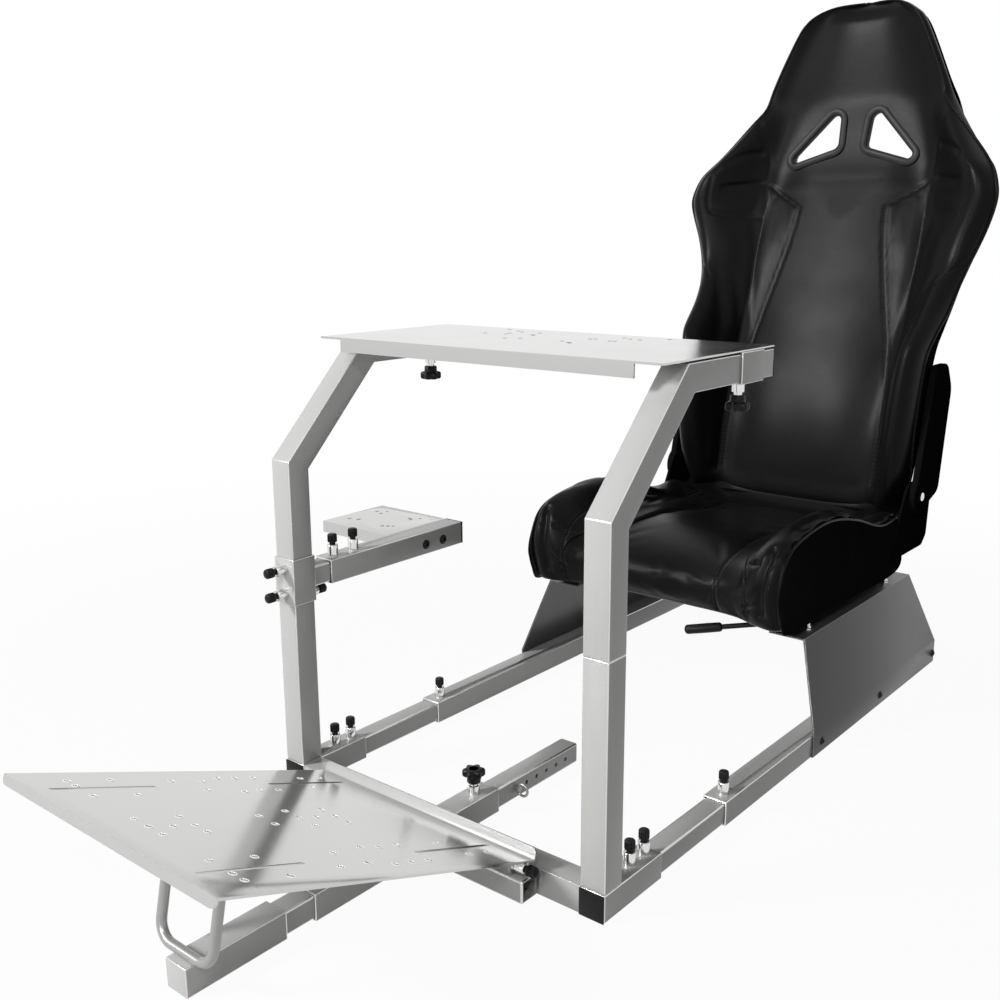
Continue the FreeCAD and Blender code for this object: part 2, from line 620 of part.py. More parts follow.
def wheel_deck():
    half = FRAME_WIDTH / 2
    front = ARM_END - DECK_DEPTH
    plate = box(-half, half, front, ARM_END, DECK_Z, DECK_Z + SHEET)
    flange_half = RAIL_X - HALF_TUBE - DECK_FLANGE_GAP
    flange = box(-flange_half, flange_half, front, front + SHEET, DECK_Z - DECK_FLANGE, DECK_Z)
    holes = []
    for span_x, span_y, back in ((WHEEL_HOLES_X, WHEEL_HOLES_Y, WHEEL_HOLES_BACK),
                                 (WHEEL_SIDE_X, WHEEL_SIDE_Y, WHEEL_SIDE_BACK)):
        for sx in (-0.5, 0.5):
            for sy in (-0.5, 0.5):
                place = (sx * span_x, front + back + sy * span_y, DECK_Z - SHEET)
                holes.append(rod(place, UP, WHEEL_HOLE_R, 3 * SHEET))
    nodes = {"wheel_plate": plate.fuse(flange).removeSplitter().cut(Part.Compound(holes))}

    sleeve_end = ARM_END - DECK_SLEEVE_INSET
    sleeve_start = sleeve_end - DECK_SLEEVE_LENGTH
    sleeve = tube_y(RAIL_X, sleeve_start, sleeve_end, ARM_TOP_Z - HALF_TUBE, COLLAR, COLLAR_WALL)
    nodes["deck_sleeves"] = both_sides(sleeve)
    knob_z = ARM_TOP_Z - HALF_TUBE - COLLAR / 2
    nodes["deck_star_knobs"] = both_sides(star_knob((RAIL_X, (sleeve_start + sleeve_end) / 2, knob_z), DOWN))
    return nodes


def shifter_clamp():
    face = COLLAR / 2
    clamp = tube_z(-RAIL_X, 0, CLAMP_Z - CLAMP_TALL / 2, CLAMP_Z + CLAMP_TALL / 2, COLLAR, COLLAR_WALL)
    screws = [(-1, CLAMP_Z - CLAMP_SCREW_RISE), (-1, CLAMP_Z + CLAMP_SCREW_RISE), (1, CLAMP_Z - CLAMP_REAR_DROP)]
    screws = [((-RAIL_X, way * face, z), (0, way, 0)) for way, z in screws]
    nodes = {"shifter_clamp": clamp.fuse([nut(*screw) for screw in screws])}
    nodes["shifter_stub"] = tube_y(-RAIL_X, face, face + STUB_LENGTH, CLAMP_Z, INNER, WALL)
    nodes["clamp_thumbscrews"] = Part.Compound([thumb(*screw) for screw in screws])
    return nodes


def shifter_arm():
    start = COLLAR / 2 + ARM_GAP
    end = start + ARM_LENGTH
    top = CLAMP_Z + HALF_TUBE
    screws = [(-RAIL_X, start + inset, top) for inset in ARM_SCREW_INSETS]
    arm = tube_y(-RAIL_X, start, end, CLAMP_Z, TUBE, WALL)
    nodes = {"shifter_arm": arm.fuse([nut(screw, UP) for screw in screws])}
    nodes["arm_thumbscrews"] = Part.Compound([thumb(screw, UP) for screw in screws])
    nodes["arm_end_cap"] = end_cap_y(-RAIL_X, end, CLAMP_Z, 1)

    right = -RAIL_X - HALF_TUBE
    tray = box(right - TRAY_WIDTH, right, end - TRAY_LENGTH, end, top - SHEET, top)
    flanges = [box(right - SHEET, right, end - TRAY_LENGTH, end, top - TUBE + WALL, top - SHEET),
               box(right - TRAY_WIDTH, right, end - TRAY_LENGTH, end - TRAY_LENGTH + SHEET,
                   top - TRAY_FLANGE, top - SHEET)]
    tray = tray.fuse(flanges).removeSplitter()
    bend = [edge for edge in tray.Edges if edge.BoundBox.XMin > right - SLIP and edge.BoundBox.ZMin > top - SLIP]
    tray = tray.makeFillet(TRAY_BEND, bend)
    for sx in (-0.5, 0.5):
        for sy in (-0.5, 0.5):
            place = (right - TRAY_WIDTH / 2 + sx * TRAY_HOLES_X, end - TRAY_LENGTH / 2 + sy * TRAY_HOLES_Y,
                     top - 2 * SHEET)
            tray = tray.cut(rod(place, UP, TRAY_HOLE_R, 3 * SHEET))
    nodes["shifter_tray"] = tray
    return nodes


CROSS_REAR = -HALF_TUBE - PEDAL_GAP
CROSS_FRONT = CROSS_REAR - INNER
HINGE_Y = (CROSS_REAR + CROSS_FRONT) / 2
HINGE_Z = HALF_TUBE + INNER / 2 + HINGE_EAR_R + HINGE_EAR_GAP
GUIDE_FRONT = CROSS_FRONT - FOOT_GUIDE_LENGTH
FOOT_REAR = GUIDE_FRONT - FOOT_GAP
FOOT_FRONT = FOOT_REAR - FOOT_LENGTH


def plate_point(along, above):
    """A point of the tilted pedal plate: along it from the hinge, and above the hinge line."""
    return (HINGE_Y - along * math.cos(TILT) + above * math.sin(TILT),
            HINGE_Z + along * math.sin(TILT) + above * math.cos(TILT))


def pedal_carriage():
    slide = tube_y(0, CROSS_REAR, SLIDE_TUBE_REACH, HALF_TUBE, INNER, WALL)
    places = [SLIDE_TUBE_REACH - SLIDE_HOLE_INSET - k * SLIDE_HOLE_PITCH for k in range(SLIDE_HOLE_COUNT)]
    holes = [turned((-INNER, y, HALF_TUBE), (1, 0, 0), 2 * INNER, lambda angle: SLIDE_HOLE_R, ROUND_SIDES)
             for y in places]
    nodes = {"pedal_slide_tube": slide.cut(Part.Compound(holes))}
    pin_y, face = places[-1], INNER / 2
    pin = turned((-face - PIN_TIP, pin_y, HALF_TUBE), (1, 0, 0), 2 * face + PIN_TIP + RING_GAP + RING_WIRE,
                 lambda angle: PIN_R, ROUND_SIDES)
    ring_start = (face + RING_GAP + RING_R, pin_y - RING_WIRE / 2, HALF_TUBE)
    ring = turned(ring_start, (0, 1, 0), RING_WIRE, lambda angle: RING_R, RING_SIDES)
    ring = ring.cut(turned(ring_start, (0, 1, 0), RING_WIRE, lambda angle: RING_R - RING_WIRE, RING_SIDES))
    nodes["ring_pin"] = pin.fuse(ring)

    cross = tube_x(-PEDAL_CROSS_HALF, PEDAL_CROSS_HALF, HINGE_Y, HALF_TUBE, INNER, WALL)
    tube_top = HALF_TUBE + INNER / 2
    lug = rod((HINGE_LUG_X, HINGE_Y, HINGE_Z), (1, 0, 0), HINGE_EAR_R, HINGE_LUG)
    lug = lug.fuse(box(HINGE_LUG_X, HINGE_LUG_X + HINGE_LUG, HINGE_Y - HINGE_EAR_R, HINGE_Y + HINGE_EAR_R,
                       tube_top, HINGE_Z))
    bore = rod((HINGE_LUG_X, HINGE_Y, HINGE_Z), (1, 0, 0), HINGE_PIN_R + HINGE_PIN_SLIP, HINGE_LUG)
    lug = lug.cut(bore)
    nodes["pedal_cross_tube"] = cross.fuse([lug, mirrored(lug)]).removeSplitter()

    ear_out = HINGE_LUG_X + HINGE_LUG + 2 * HINGE_SIDE_GAP + SHEET
    screw = rod((HINGE_LUG_X, HINGE_Y, HINGE_Z), (1, 0, 0), HINGE_PIN_R, ear_out - HINGE_LUG_X)
    collar = turned((ear_out, HINGE_Y, HINGE_Z), (1, 0, 0), HINGE_NUT, lambda angle: NUT_R, ROUND_SIDES)
    screw = screw.fuse([collar, thumb_cap((ear_out + HINGE_NUT, HINGE_Y, HINGE_Z), (1, 0, 0))])
    nodes["hinge_thumbscrews"] = both_sides(screw)

    nodes["foot_guide_sleeve"] = tube_y(0, GUIDE_FRONT, CROSS_FRONT, HALF_TUBE, TUBE, WALL)
    nodes["foot_star_knob"] = star_knob((0, GUIDE_FRONT + FOOT_KNOB_INSET, TUBE), UP)
    return nodes


def bent_rod(length):
    """The leg's round rod, bent to an upright U with its foot bar's middle at the origin."""
    reach = LEG_HALF - LEG_BEND_R
    quarter = [math.pi / 2 * k / LEG_BEND_STEPS for k in range(LEG_BEND_STEPS + 1)]
    bends = [(reach, angle) for angle in quarter] + [(-reach, math.pi / 2 + angle) for angle in quarter]
    path = [(LEG_HALF, length, 0)]
    path += [(x + LEG_BEND_R * math.cos(a), LEG_BEND_R * (1 - math.sin(a)), a) for x, a in bends]
    path += [(-LEG_HALF, length, math.pi)]
    rings = []
    for x, z, a in path:
        turns = [2 * math.pi * k / ROUND_SIDES for k in range(ROUND_SIDES)]
        rings.append([V(x + LEG_R * math.cos(t) * math.cos(a), LEG_R * math.sin(t),
                        z - LEG_R * math.cos(t) * math.sin(a)) for t in turns])
    return skin(rings)


def pedal_foot():
    nodes = {"foot_inner_tube": tube_y(0, FOOT_REAR, GUIDE_FRONT + FOOT_ENGAGED, HALF_TUBE, INNER, WALL)}
    foot = tube_y(0, FOOT_FRONT, FOOT_REAR, HALF_TUBE, TUBE, WALL)
    front_wall = box(-HALF_TUBE, HALF_TUBE, FOOT_FRONT, FOOT_FRONT + WALL, 0, TUBE)
    nodes["foot_tube"] = foot.fuse(front_wall).removeSplitter()

    tilt = math.radians(LEG_LEAN)
    base_y, base_z = FOOT_FRONT + LEG_INSET, TUBE + LEG_R
    under = PLATE_OVER_HINGE - LEG_CLEAR / math.cos(TILT) - LEG_R * math.tan(TILT)
    slope = math.tan(TILT)
    rise = HINGE_Z - base_z + under / math.cos(TILT) + (HINGE_Y - base_y) * slope
    length = rise / (math.cos(tilt) + math.sin(tilt) * slope)
    leg = bent_rod(length)
    leg.rotate(V(0, 0, 0), V(1, 0, 0), -LEG_LEAN)
    leg.translate(V(0, base_y, base_z))
    nodes["foot_leg"] = leg
    return nodes


def is_lip_corner(edge):
    """True for the short upright edges at the ends of the pedal plate's rear lip and front flange."""
    box = edge.BoundBox
    level = box.XLength < SLIP and edge.Length < 2 * SHEET
    rear_tip = plate_point(-PLATE_REAR, PLATE_OVER_HINGE + PLATE_LIP)
    front_tip = plate_point(PLATE_LENGTH - PLATE_REAR, PLATE_OVER_HINGE + SHEET - PLATE_FLANGE)
    near = [math.dist((box.Center.y, box.Center.z), tip) < SHEET for tip in (rear_tip, front_tip)]
    return level and any(near)


def pedal_plate():
    rear, front = -PLATE_REAR, PLATE_LENGTH - PLATE_REAR
    low, high = PLATE_OVER_HINGE, PLATE_OVER_HINGE + SHEET
    outline = [(front, high), (rear, high), (rear, low + PLATE_LIP), (rear - SHEET, low + PLATE_LIP),
               (rear - SHEET, low), (front - SHEET, low), (front - SHEET, high - PLATE_FLANGE),
               (front, high - PLATE_FLANGE)]
    plate = prism_yz([plate_point(a, b) for a, b in outline], -PLATE_HALF, PLATE_HALF)
    corners = [edge for edge in plate.Edges if is_lip_corner(edge)]
    plate = plate.makeFillet(PLATE_ROUND, corners)
    normal = (0, math.sin(TILT), math.cos(TILT))

    def drilled(x, along, radius):
        return turned((x, *plate_point(along, 0)), normal, 2 * high, lambda angle: radius, ROUND_SIDES)

    cuts = []
    for x in (-PLATE_SLOT_X, PLATE_SLOT_X):
        for start in PLATE_SLOT_STARTS:
            a0, a1 = start + PLATE_SLOT_WIDTH / 2, start + PLATE_SLOT_LENGTH - PLATE_SLOT_WIDTH / 2
            corners = [plate_point(a, b) for a, b in ((a0, 0), (a1, 0), (a1, 2 * high), (a0, 2 * high))]
            cuts.append(prism_yz(corners, x - PLATE_SLOT_WIDTH / 2, x + PLATE_SLOT_WIDTH / 2))
            cuts += [drilled(x, a, PLATE_SLOT_WIDTH / 2) for a in (a0, a1)]
    for x in PLATE_HOLES_X:
        for along in PLATE_HOLES_ALONG:
            cuts += [drilled(side * x, along, PLATE_HOLE_R) for side in (-1, 1)]
    plate = plate.cut(cuts)

    ear_in = HINGE_LUG_X + HINGE_LUG + HINGE_SIDE_GAP
    ear = rod((ear_in, HINGE_Y, HINGE_Z), (1, 0, 0), HINGE_EAR_R, SHEET)
    web = [plate_point(a, b) for a, b in ((-HINGE_EAR_R, 0), (HINGE_EAR_R, 0), (3 * HINGE_EAR_R, low),
                                          (-HINGE_EAR_R, low))]
    ear = ear.fuse(prism_yz(web, ear_in, ear_in + SHEET))
    ear = ear.cut(rod((ear_in, HINGE_Y, HINGE_Z), (1, 0, 0), HINGE_PIN_R + HINGE_PIN_SLIP, SHEET))
    return {"pedal_plate": plate.fuse([ear, mirrored(ear)]).removeSplitter()}


def main():
    os.makedirs("parts", exist_ok=True)
    for build in (front_frame, seat_frame, seat_base, lever, backrest, wheel_deck, shifter_clamp, shifter_arm,
                  pedal_carriage, pedal_foot, pedal_plate):
        for name, shape in build().items():
            shape.exportStep("parts/" + name + ".step")


main()
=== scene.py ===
"""Looks of a racing simulator cockpit: brushed tube frame, sheet plates, knobs and a leather bucket seat."""

import json
import math

import bmesh
import bpy
from mathutils import Matrix, Vector
from mathutils.bvhtree import BVHTree
from mathutils.kdtree import KDTree

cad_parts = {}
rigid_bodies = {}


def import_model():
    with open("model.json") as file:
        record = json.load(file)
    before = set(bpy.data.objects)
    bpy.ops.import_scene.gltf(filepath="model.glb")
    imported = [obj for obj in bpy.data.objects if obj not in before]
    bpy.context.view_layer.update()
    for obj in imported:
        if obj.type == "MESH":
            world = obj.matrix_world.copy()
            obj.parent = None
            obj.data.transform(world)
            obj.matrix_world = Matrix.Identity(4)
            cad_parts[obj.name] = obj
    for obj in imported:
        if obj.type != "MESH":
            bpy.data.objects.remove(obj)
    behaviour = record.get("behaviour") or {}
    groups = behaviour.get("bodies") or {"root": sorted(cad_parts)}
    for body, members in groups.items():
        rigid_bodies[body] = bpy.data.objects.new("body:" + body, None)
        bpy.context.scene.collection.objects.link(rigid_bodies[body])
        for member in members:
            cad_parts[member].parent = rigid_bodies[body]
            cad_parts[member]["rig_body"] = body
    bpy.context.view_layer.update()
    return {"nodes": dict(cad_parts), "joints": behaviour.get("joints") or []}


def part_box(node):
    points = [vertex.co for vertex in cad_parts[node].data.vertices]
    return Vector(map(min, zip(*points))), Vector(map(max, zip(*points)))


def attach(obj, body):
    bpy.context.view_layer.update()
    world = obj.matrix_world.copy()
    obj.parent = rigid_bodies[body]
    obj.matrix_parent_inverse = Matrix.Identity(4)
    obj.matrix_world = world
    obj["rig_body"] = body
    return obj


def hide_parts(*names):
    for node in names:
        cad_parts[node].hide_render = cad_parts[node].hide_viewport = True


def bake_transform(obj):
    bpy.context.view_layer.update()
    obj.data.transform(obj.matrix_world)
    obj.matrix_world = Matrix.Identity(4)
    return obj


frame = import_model()
NODES = frame["nodes"]
JOINTS = {joint["name"]: joint for joint in frame["joints"]}
MM = 0.001
ACROSS = Vector((1, 0, 0))
REARWARD = Vector((0, 1, 0))
UP = Vector((0, 0, 1))
SIDES = (-1, 1)

# Camera: place in metres, angles in degrees, lens and sensor in millimetres
CAMERA_PLACE = Vector((1.0113, -1.0676, 0.8453))
CAMERA_TURN = 39.825
CAMERA_DIP = 13.354
CAMERA_ROLL = -0.36
CAMERA_LENS = 40.877
CAMERA_SENSOR = 36
CAMERA_FAR = 100

# Stage: lamps by place, target and size in metres and power in watts; the floor whitens with distance
LAMPS = (
    ("key", (0.3, -3.3, 1.7), (0, 0.3, 0.5), (1.4, 1.2), 45),
    ("high", (-2.84, -4.43, 3.65), (0, 1.2, 0.7), (1.1, 1.3), 400),
    ("side", (1.4, -1.9, 2.25), (0, 0.7, 0.6), (0.2, 0.2), 14),
)
WHITE = (1, 1, 1, 1)
WORLD_FILL = 0.02
FLOOR_HALF = 30
FLOOR_DROP = 0.5 * MM
FLOOR_TONE = (0.62, 0.62, 0.62)
FLOOR_ROUGHNESS = 0.9
FADE_NEAR, FADE_FAR = 1.2, 2.8
WHITE_NEAR, WHITE_FAR = 0.95, 1.0

# Tubes and sheets: rounds of their edges, and how long and sharp an edge is to be rounded
TUBE_ROUND = 2.6 * MM
SHEET_ROUND = 0.7 * MM
CAP_ROUND = 1.5 * MM
SLIDER_ROUND = 0.6 * MM
TUBE_EDGE = 0.03
SMALL_EDGE = 0.02
EDGE_ANGLE = 0.6
WELD = 0.01 * MM
SHEET_HALF = 1.5 * MM
TUBE_AXIS = {"front_cross_tube": "X", "base_sleeves": "Y", "lower_post_left": "Z", "lower_post_right": "Z",
             "wheel_arm_left": "Z", "wheel_arm_right": "Z", "inner_rails": "Y", "pedal_guide_sleeve": "Y",
             "rear_rail_left": "Y", "rear_rail_right": "Y", "deck_sleeves": "Y", "shifter_clamp": "Z",
             "shifter_stub": "Y", "shifter_arm": "Y", "pedal_slide_tube": "Y", "pedal_cross_tube": "X",
             "foot_guide_sleeve": "Y", "foot_inner_tube": "Y", "foot_tube": "Y"}

# Thumbscrews: fluted caps on collars; each group by the index of its axis and the depth of its collars
CAP_TALL = 17 * MM
CAP_R = 7.5 * MM
CAP_NECK_R = 4.6 * MM
CAP_FLUTES = 18
CAP_RIPPLE = 0.09
COLLAR_R = 8.4 * MM
NUT_TALL = 18 * MM
HINGE_NUT = 14 * MM
THUMBSCREWS = {"sleeve_thumbscrews": (2, NUT_TALL), "rail_thumbscrews": (2, NUT_TALL),
               "arm_thumbscrews": (2, NUT_TALL), "clamp_thumbscrews": (1, NUT_TALL),
               "hinge_thumbscrews": (0, HINGE_NUT)}

# Star knobs
STAR_R = 17 * MM
STAR_TALL = 13 * MM
STAR_NECK = 9 * MM
STAR_LOBES = 6
STAR_RIPPLE = 0.25
STUD_R = 5.6 * MM

# Recliner: round corners of its covers, and its plates by corners and radii in millimetres from the pivot
COVER_CORNER = 13 * MM
COVER_ROUND = 2 * MM
RECLINER_CORNERS = ((-106, -112), (64, -112), (85, -94), (92, -10), (34, 34), (-34, 24))
RECLINER_RADII = (5, 12, 14, 10, 24, 24)
RECLINER_ROUND = 1 * MM

# Bolts, nuts and pins; profiles are distance along the axis and radius in millimetres
STRIP_BOLT_R = 5 * MM
STRIP_BOLT_Y = (0.609, 0.856, 1.125)
STRIP_BOLT_Z = 0.018
TRAY_BOLT_R = 5.5 * MM
TRAY_BOLT_Y = (0.267, 0.309)
TRAY_BOLT_Z = 0.332
SLIDER_NUT_X = 0.2465
SLIDER_NUT_Y = (0.660, 0.996)
NUT_WASHER = ((-0.5, 7.2), (1.4, 7.2))
NUT_HEXAGON = ((1, 5.8), (6, 5.8), (6.6, 5))
NUT_STUD = ((5, 3.4), (10, 3.4), (11, 2.6))
PIN_HEAD = ((-5, 8.3), (-2, 8.3), (-0.8, 7), (-0.4, 5), (0, 3))

# Holes of the plates: in millimetres on the wheel plate, and on the tray in metres, as a group of holes and a
# slot, each with its step and radius, that repeats at four places
DRILL_REACH = 5 * MM
SLOT_STEPS = 12
HOLE_R = 3.7 * MM
DECK_HOLES = ((-149, 350), (-116, 333), (-67, 324), (-105, 297), (-136, 275), (38, 240), (64, 223),
              (52, 289), (93, 280), (84, 331), (119, 318), (149, 350), (-38, 240), (-52, 289))
TRAY_X = (-0.4345, -0.3525)
TRAY_Y = (0.252, 0.319)
TRAY_HOLES = ((0, 0, 3.3 * MM), (0.016, 0.010, 2.6 * MM))
TRAY_SLOT = (-0.006, -0.012, 2.8 * MM)
TRAY_SLOT_RUN = (0.007, 0, 0)

# Pedal plate: half widths of its holes and slots by distance from the hinge in millimetres, and raised rims
# round its holes in near-white steel as a painted highlight
PEDAL_TILT = math.radians(20.9)
PEDAL_ALONG = Vector((0, -math.cos(PEDAL_TILT), math.sin(PEDAL_TILT)))
PEDAL_NORMAL = Vector((0, math.sin(PEDAL_TILT), math.cos(PEDAL_TILT)))
PEDAL_FACE = 13.5 * MM
PEDAL_HOLES = {449: (0, 27, 109, 147, 166), 418: (4,), 389: (4, 27, 109, 168), 306: (158,), 279: (15, 118),
               260: (155,), 226: (0, 28, 108, 167), 197: (0, 112, 166), 165: (0, 26, 111, 165), 97: (118,),
               82: (160,), 44: (160,)}
PEDAL_MIDLINE = 5
PEDAL_SLOTS = {87: (138,), 416: (138,)}
PEDAL_SLOT_R = 3.1 * MM
PEDAL_SLOT_RUN = 70.2 * MM
LIP_RISE = 1 * MM
FLANGE_ALONG = 0.5
FLANGE_FACING = 0.7
BURR_SECTION = ((3.7, -0.3), (3.8, 0.3), (4.2, 0.6), (4.9, 0.5), (5.5, -0.3))
BURR_SIDES = 20

# Rods: the pedal leg, the ring pin and the slide release lever with its grip
LEG_R = 6.5 * MM
LEG_BEND = 24 * MM
LEG_LEAN = math.radians(12)
BEND_STEPS = 10
RING_R = 9.3 * MM
RING_WIRE = 2.1 * MM
RING_SIDES = 40
RING_PIN = ((0, 2.6), (1.5, 3.3), (37, 3.3), (37.5, 5.2), (40.5, 5.2), (41, 4.4))
LEVER_REACH = Vector((-0.110, -0.060, -0.018))
LEVER_SHARES = (0, 0.12, 0.3, 0.6)
LEVER_R = 4.5 * MM
LEVER_HUB = ((-9, 5.6), (-8, 6), (8, 6), (9, 5.6))
GRIP_R = 8.4 * MM
GRIP_SHARE = 0.5

# The back's soft cover, in millimetres from the recline pivot: height, front of the middle, half width where
# the wing starts, front of the rim, half width at the rim, where the side turns in, half width at the back,
# back of the cover
BACK_ROWS = (
    (-44, 20, 150, 0, 222, 34, 196, 52),
    (-28, 17, 158, -22, 238, 40, 208, 66),
    (20, 24, 164, -44, 246, 46, 212, 78),
    (120, 42, 166, -54, 252, 60, 214, 98),
    (248, 83, 170, -41, 257, 84, 215, 136),
    (300, 100, 172, -22, 265, 96, 216, 151),
    (345, 114, 174, 24, 271, 112, 219, 167),
    (390, 129, 175, 63, 278, 124, 224, 184),
    (430, 142, 176, 88, 287, 138, 228, 199),
    (487, 160, 176, 101, 305, 152, 230, 216),
    (545, 178, 175, 104, 321, 146, 218, 233),
    (580, 188.5, 173, 105, 319, 150, 210, 244),
    (615, 199, 170, 112, 305, 166, 208, 255),
    (655, 211, 165, 138, 272, 190, 210, 267),
    (740, 231, 146, 194, 209, 234, 192, 286),
    (790, 237, 126, 206, 185, 246, 165, 294),
    (888, 241, 90, 212, 140, 262, 121, 300),
    (920, 246, 66, 216, 117, 266, 99, 300),
    (937, 254, 48, 228, 92, 272, 80, 298),
    (948, 267, 24, 250, 58, 278, 52, 290),
    (951, 273, 3, 269, 10, 280, 8, 283),
)
# Finish of the strip before each point of a row: leather 0, side vinyl 1, back vinyl 2
BACK_MARKS = (0, 0, 0, 0, 0, 0, 1, 1, 2, 2, 2, 2, 1, 1, 0, 0, 0, 0)
# Places in a row of the rim's front and of its side; the piping changes over at a height
RIM, RIM_SIDE = 4, 5
PIPED_RIM = 700
RIM_POINTS = 500
# Heights between which the wings pass into the headrest's dish, and how far each rounds its edge
DISH_START = 630
DISH_FULL = 780
WING_EDGE = 24
RIM_EDGE = 7
SHELL_TOP = 650

# Sewn lines of the back, as half width and height in millimetres, and how many points each has
BACK_SEAMS = (
    (((166, 347), (167, 432), (161, 532), (145, 626), (127, 706), (114, 766), (102, 827), (95, 890)), 140),
    (((174, 340), (175, 440), (175, 540), (175, 630), (175, 701), (175, 781), (175, 841), (175, 892),
      (178, 940)), 150),
    (((95, 890), (140, 915), (178, 940)), 24),
    (((178, 940), (178, 985), (186, 1030), (200, 1070)), 36),
    (((270, 955), (276, 905), (262, 880), (180, 868)), 40),
    (((283, 776), (262, 764), (243, 744)), 24),
)
SHOULDER_FOLDS = (((192, 1004), (216, 1000), (243, 988)), ((190, 942), (216, 938), (248, 934)))
FOLD_POINTS = 40

# Harness openings: corners and radii in millimetres from the pivot, and the section of their rings as share
# of the width from the opening outwards and height over the leather
HARNESS_CORNERS = ((34, 751), (146, 630), (30, 665))
HARNESS_RADII = (13, 8, 12)
HARNESS_CLEAR = 2 * MM
HARNESS_FLARE = 26 * MM
HARNESS_NEAR = 10 * MM
HARNESS_FAR = 80 * MM
RING_WIDTH = 15 * MM
RING_SECTION = ((0, -14), (0, 1.5), (0.08, 3.5), (0.3, 5), (0.75, 5), (0.93, 3.5), (1, -4), (0.4, -10),
                (0.3, -14))

# The cushion, in millimetres from the front of the pan: half width, nose, crest, tail, rear end
CUSHION_COLUMNS = (
    (0, -12, 98, 74, 503),
    (80, -13, 101, 74, 503),
    (120, -14, 104, 75, 500),
    (158, -20, 112, 80, 492),
    (184, -33, 138, 92, 478),
    (212, -44, 163, 106, 466),
    (236, -47, 170, 112, 462),
    (250, -40, 158, 104, 456),
    (255, -22, 118, 76, 446),
)
CUSHION_FRONT_Y = 575.5
CUSHION_FLOOR_Z = 205.5
CUSHION_HEM = 12 * MM
SEAM_COLUMNS = (2, 4)
PIPING_COLUMN = 7
# Points of a column from under its nose to its rear, and of a line laid through them
COLUMN_TOP = range(1, 9)
COLUMN_POINTS = 160

# Pleat between the cushion and its bolster, as half width and height over the pan in millimetres
PLEAT_HEM = ((148, 104), (163, 98), (176, 90), (183, 74), (185, 52), (178, 22))
PLEAT_CREASE = ((228, 140), (226, 129), (221, 108), (219, 80), (216, 59), (215, 30))
PLEAT_FOLDS = (((213, 69), (198, 53), (181, 36)), ((177, 104), (193, 110), (206, 114)),
               ((212, 40), (196, 34), (180, 24)))
PLEAT_POINTS = 60
HEM_R = 4 * MM
HEM_SINK = 1.2 * MM

# Gusset between the cushion and the back: half width, and its line from front to back in the middle and at
# the sides, in millimetres from the pivot; it turns from one to the other over a stretch
GUSSET_HALF = 244
GUSSET_MIDDLE = ((-34, -74), (-12, -66), (6, -58), (18, -46), (26, -30))
GUSSET_SIDE = ((-70, -52), (-44, -40), (-16, -38), (10, -32), (30, -16))
GUSSET_TURN = 140
GUSSET_STRETCH = 50
GUSSET_BACKING = Vector((0, 4, -4)) * MM
GUSSET_STEPS = 24
GUSSET_POINTS = 14

# Sewing and stuffing
FIT_ROUNDS = 6
FIT_STEP = 0.8
CLOTH_STEPS = 20
BACK_PRESSURE = 2.5
CUSHION_PRESSURE = 4.0
CUSHION_SLACK = 0.004
BACK_SWELL = 6 * MM
CUSHION_SWELL = 10 * MM
HEAD_SEWN = 0.6
HEAD_FADE = 0.15
BACK_FACING = 0.2
TAIL_FACING = 0.6
SIDE_FACING = 0.7
SEW_REACH = 4.5 * MM
SEAM_DEPTH = 2.2 * MM
SEAM_WIDTH = 3.5 * MM
FOLD_DEPTH = 4 * MM
FOLD_WIDTH = 7 * MM
PLEAT_FOLD_WIDTH = 0.6 * FOLD_WIDTH
CREASE_DEPTH = 8 * MM
CREASE_WIDTH = 9 * MM
PIPING_R = 2.4 * MM
PIPING_LIFT = 0.5 * MM
STITCH_PITCH = 5 * MM
STITCH_LENGTH = 3.4 * MM
STITCH_R = 0.55 * MM
STITCH_END_R = 0.25 * MM
STITCH_LIFT = 0.1 * MM
STITCH_OFFSETS = (-3.5 * MM, 3.5 * MM)


def link(obj):
    bpy.context.scene.collection.objects.link(obj)
    return obj


def piece(name, form, body, material, smooth_angle=40, others=()):
    """A mesh that rides a body, with its finish, those of its marked faces and its shading."""
    mesh = form if isinstance(form, bpy.types.Mesh) else mesh_of(name, form)
    obj = link(bpy.data.objects.new(name, mesh))
    marks = [face.material_index if others else 0 for face in mesh.polygons]
    mesh.materials.clear()
    for finish in (material, *others):
        mesh.materials.append(finish)
    mesh.polygons.foreach_set("material_index", marks)
    mesh.polygons.foreach_set("use_smooth", [True] * len(mesh.polygons))
    mesh.set_sharp_from_angle(angle=math.radians(smooth_angle))
    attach(obj, body)
    return obj


def body_of(node):
    return NODES[node]["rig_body"]


def stand_in(node, form, material, smooth_angle=40, others=()):
    """A mesh that is shown in a node's place, on its body."""
    obj = piece("look_" + node, form, body_of(node), material, smooth_angle, others)
    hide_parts(node)


def mesh_of(name, bm):
    mesh = bpy.data.meshes.new(name)
    bm.to_mesh(mesh)
    bm.free()
    return mesh


def evaluated(obj):
    """The object's mesh with its modifiers applied."""
    bpy.context.view_layer.update()
    depsgraph = bpy.context.evaluated_depsgraph_get()
    return bpy.data.meshes.new_from_object(obj.evaluated_get(depsgraph))


# Materials

def shader(name, color, metallic, roughness, **sockets):
    """A Principled material; returns it with its node tree and shader."""
    material = bpy.data.materials.new(name)
    material.use_nodes = True
    tree = material.node_tree
    bsdf = tree.nodes["Principled BSDF"]
    bsdf.inputs["Base Color"].default_value = (*color, 1)
    bsdf.inputs["Metallic"].default_value = metallic
    bsdf.inputs["Roughness"].default_value = roughness
    for socket, value in sockets.items():
        bsdf.inputs[socket.replace("_", " ")].default_value = value
    return material, tree, bsdf


def add(tree, kind, **values):
    """A new node with its settings and unlinked inputs."""
    node = tree.nodes.new(kind)
    for key, value in values.items():
        if hasattr(node, key):
            setattr(node, key, value)
        else:
            node.inputs[key.replace("_", " ")].default_value = value
    return node


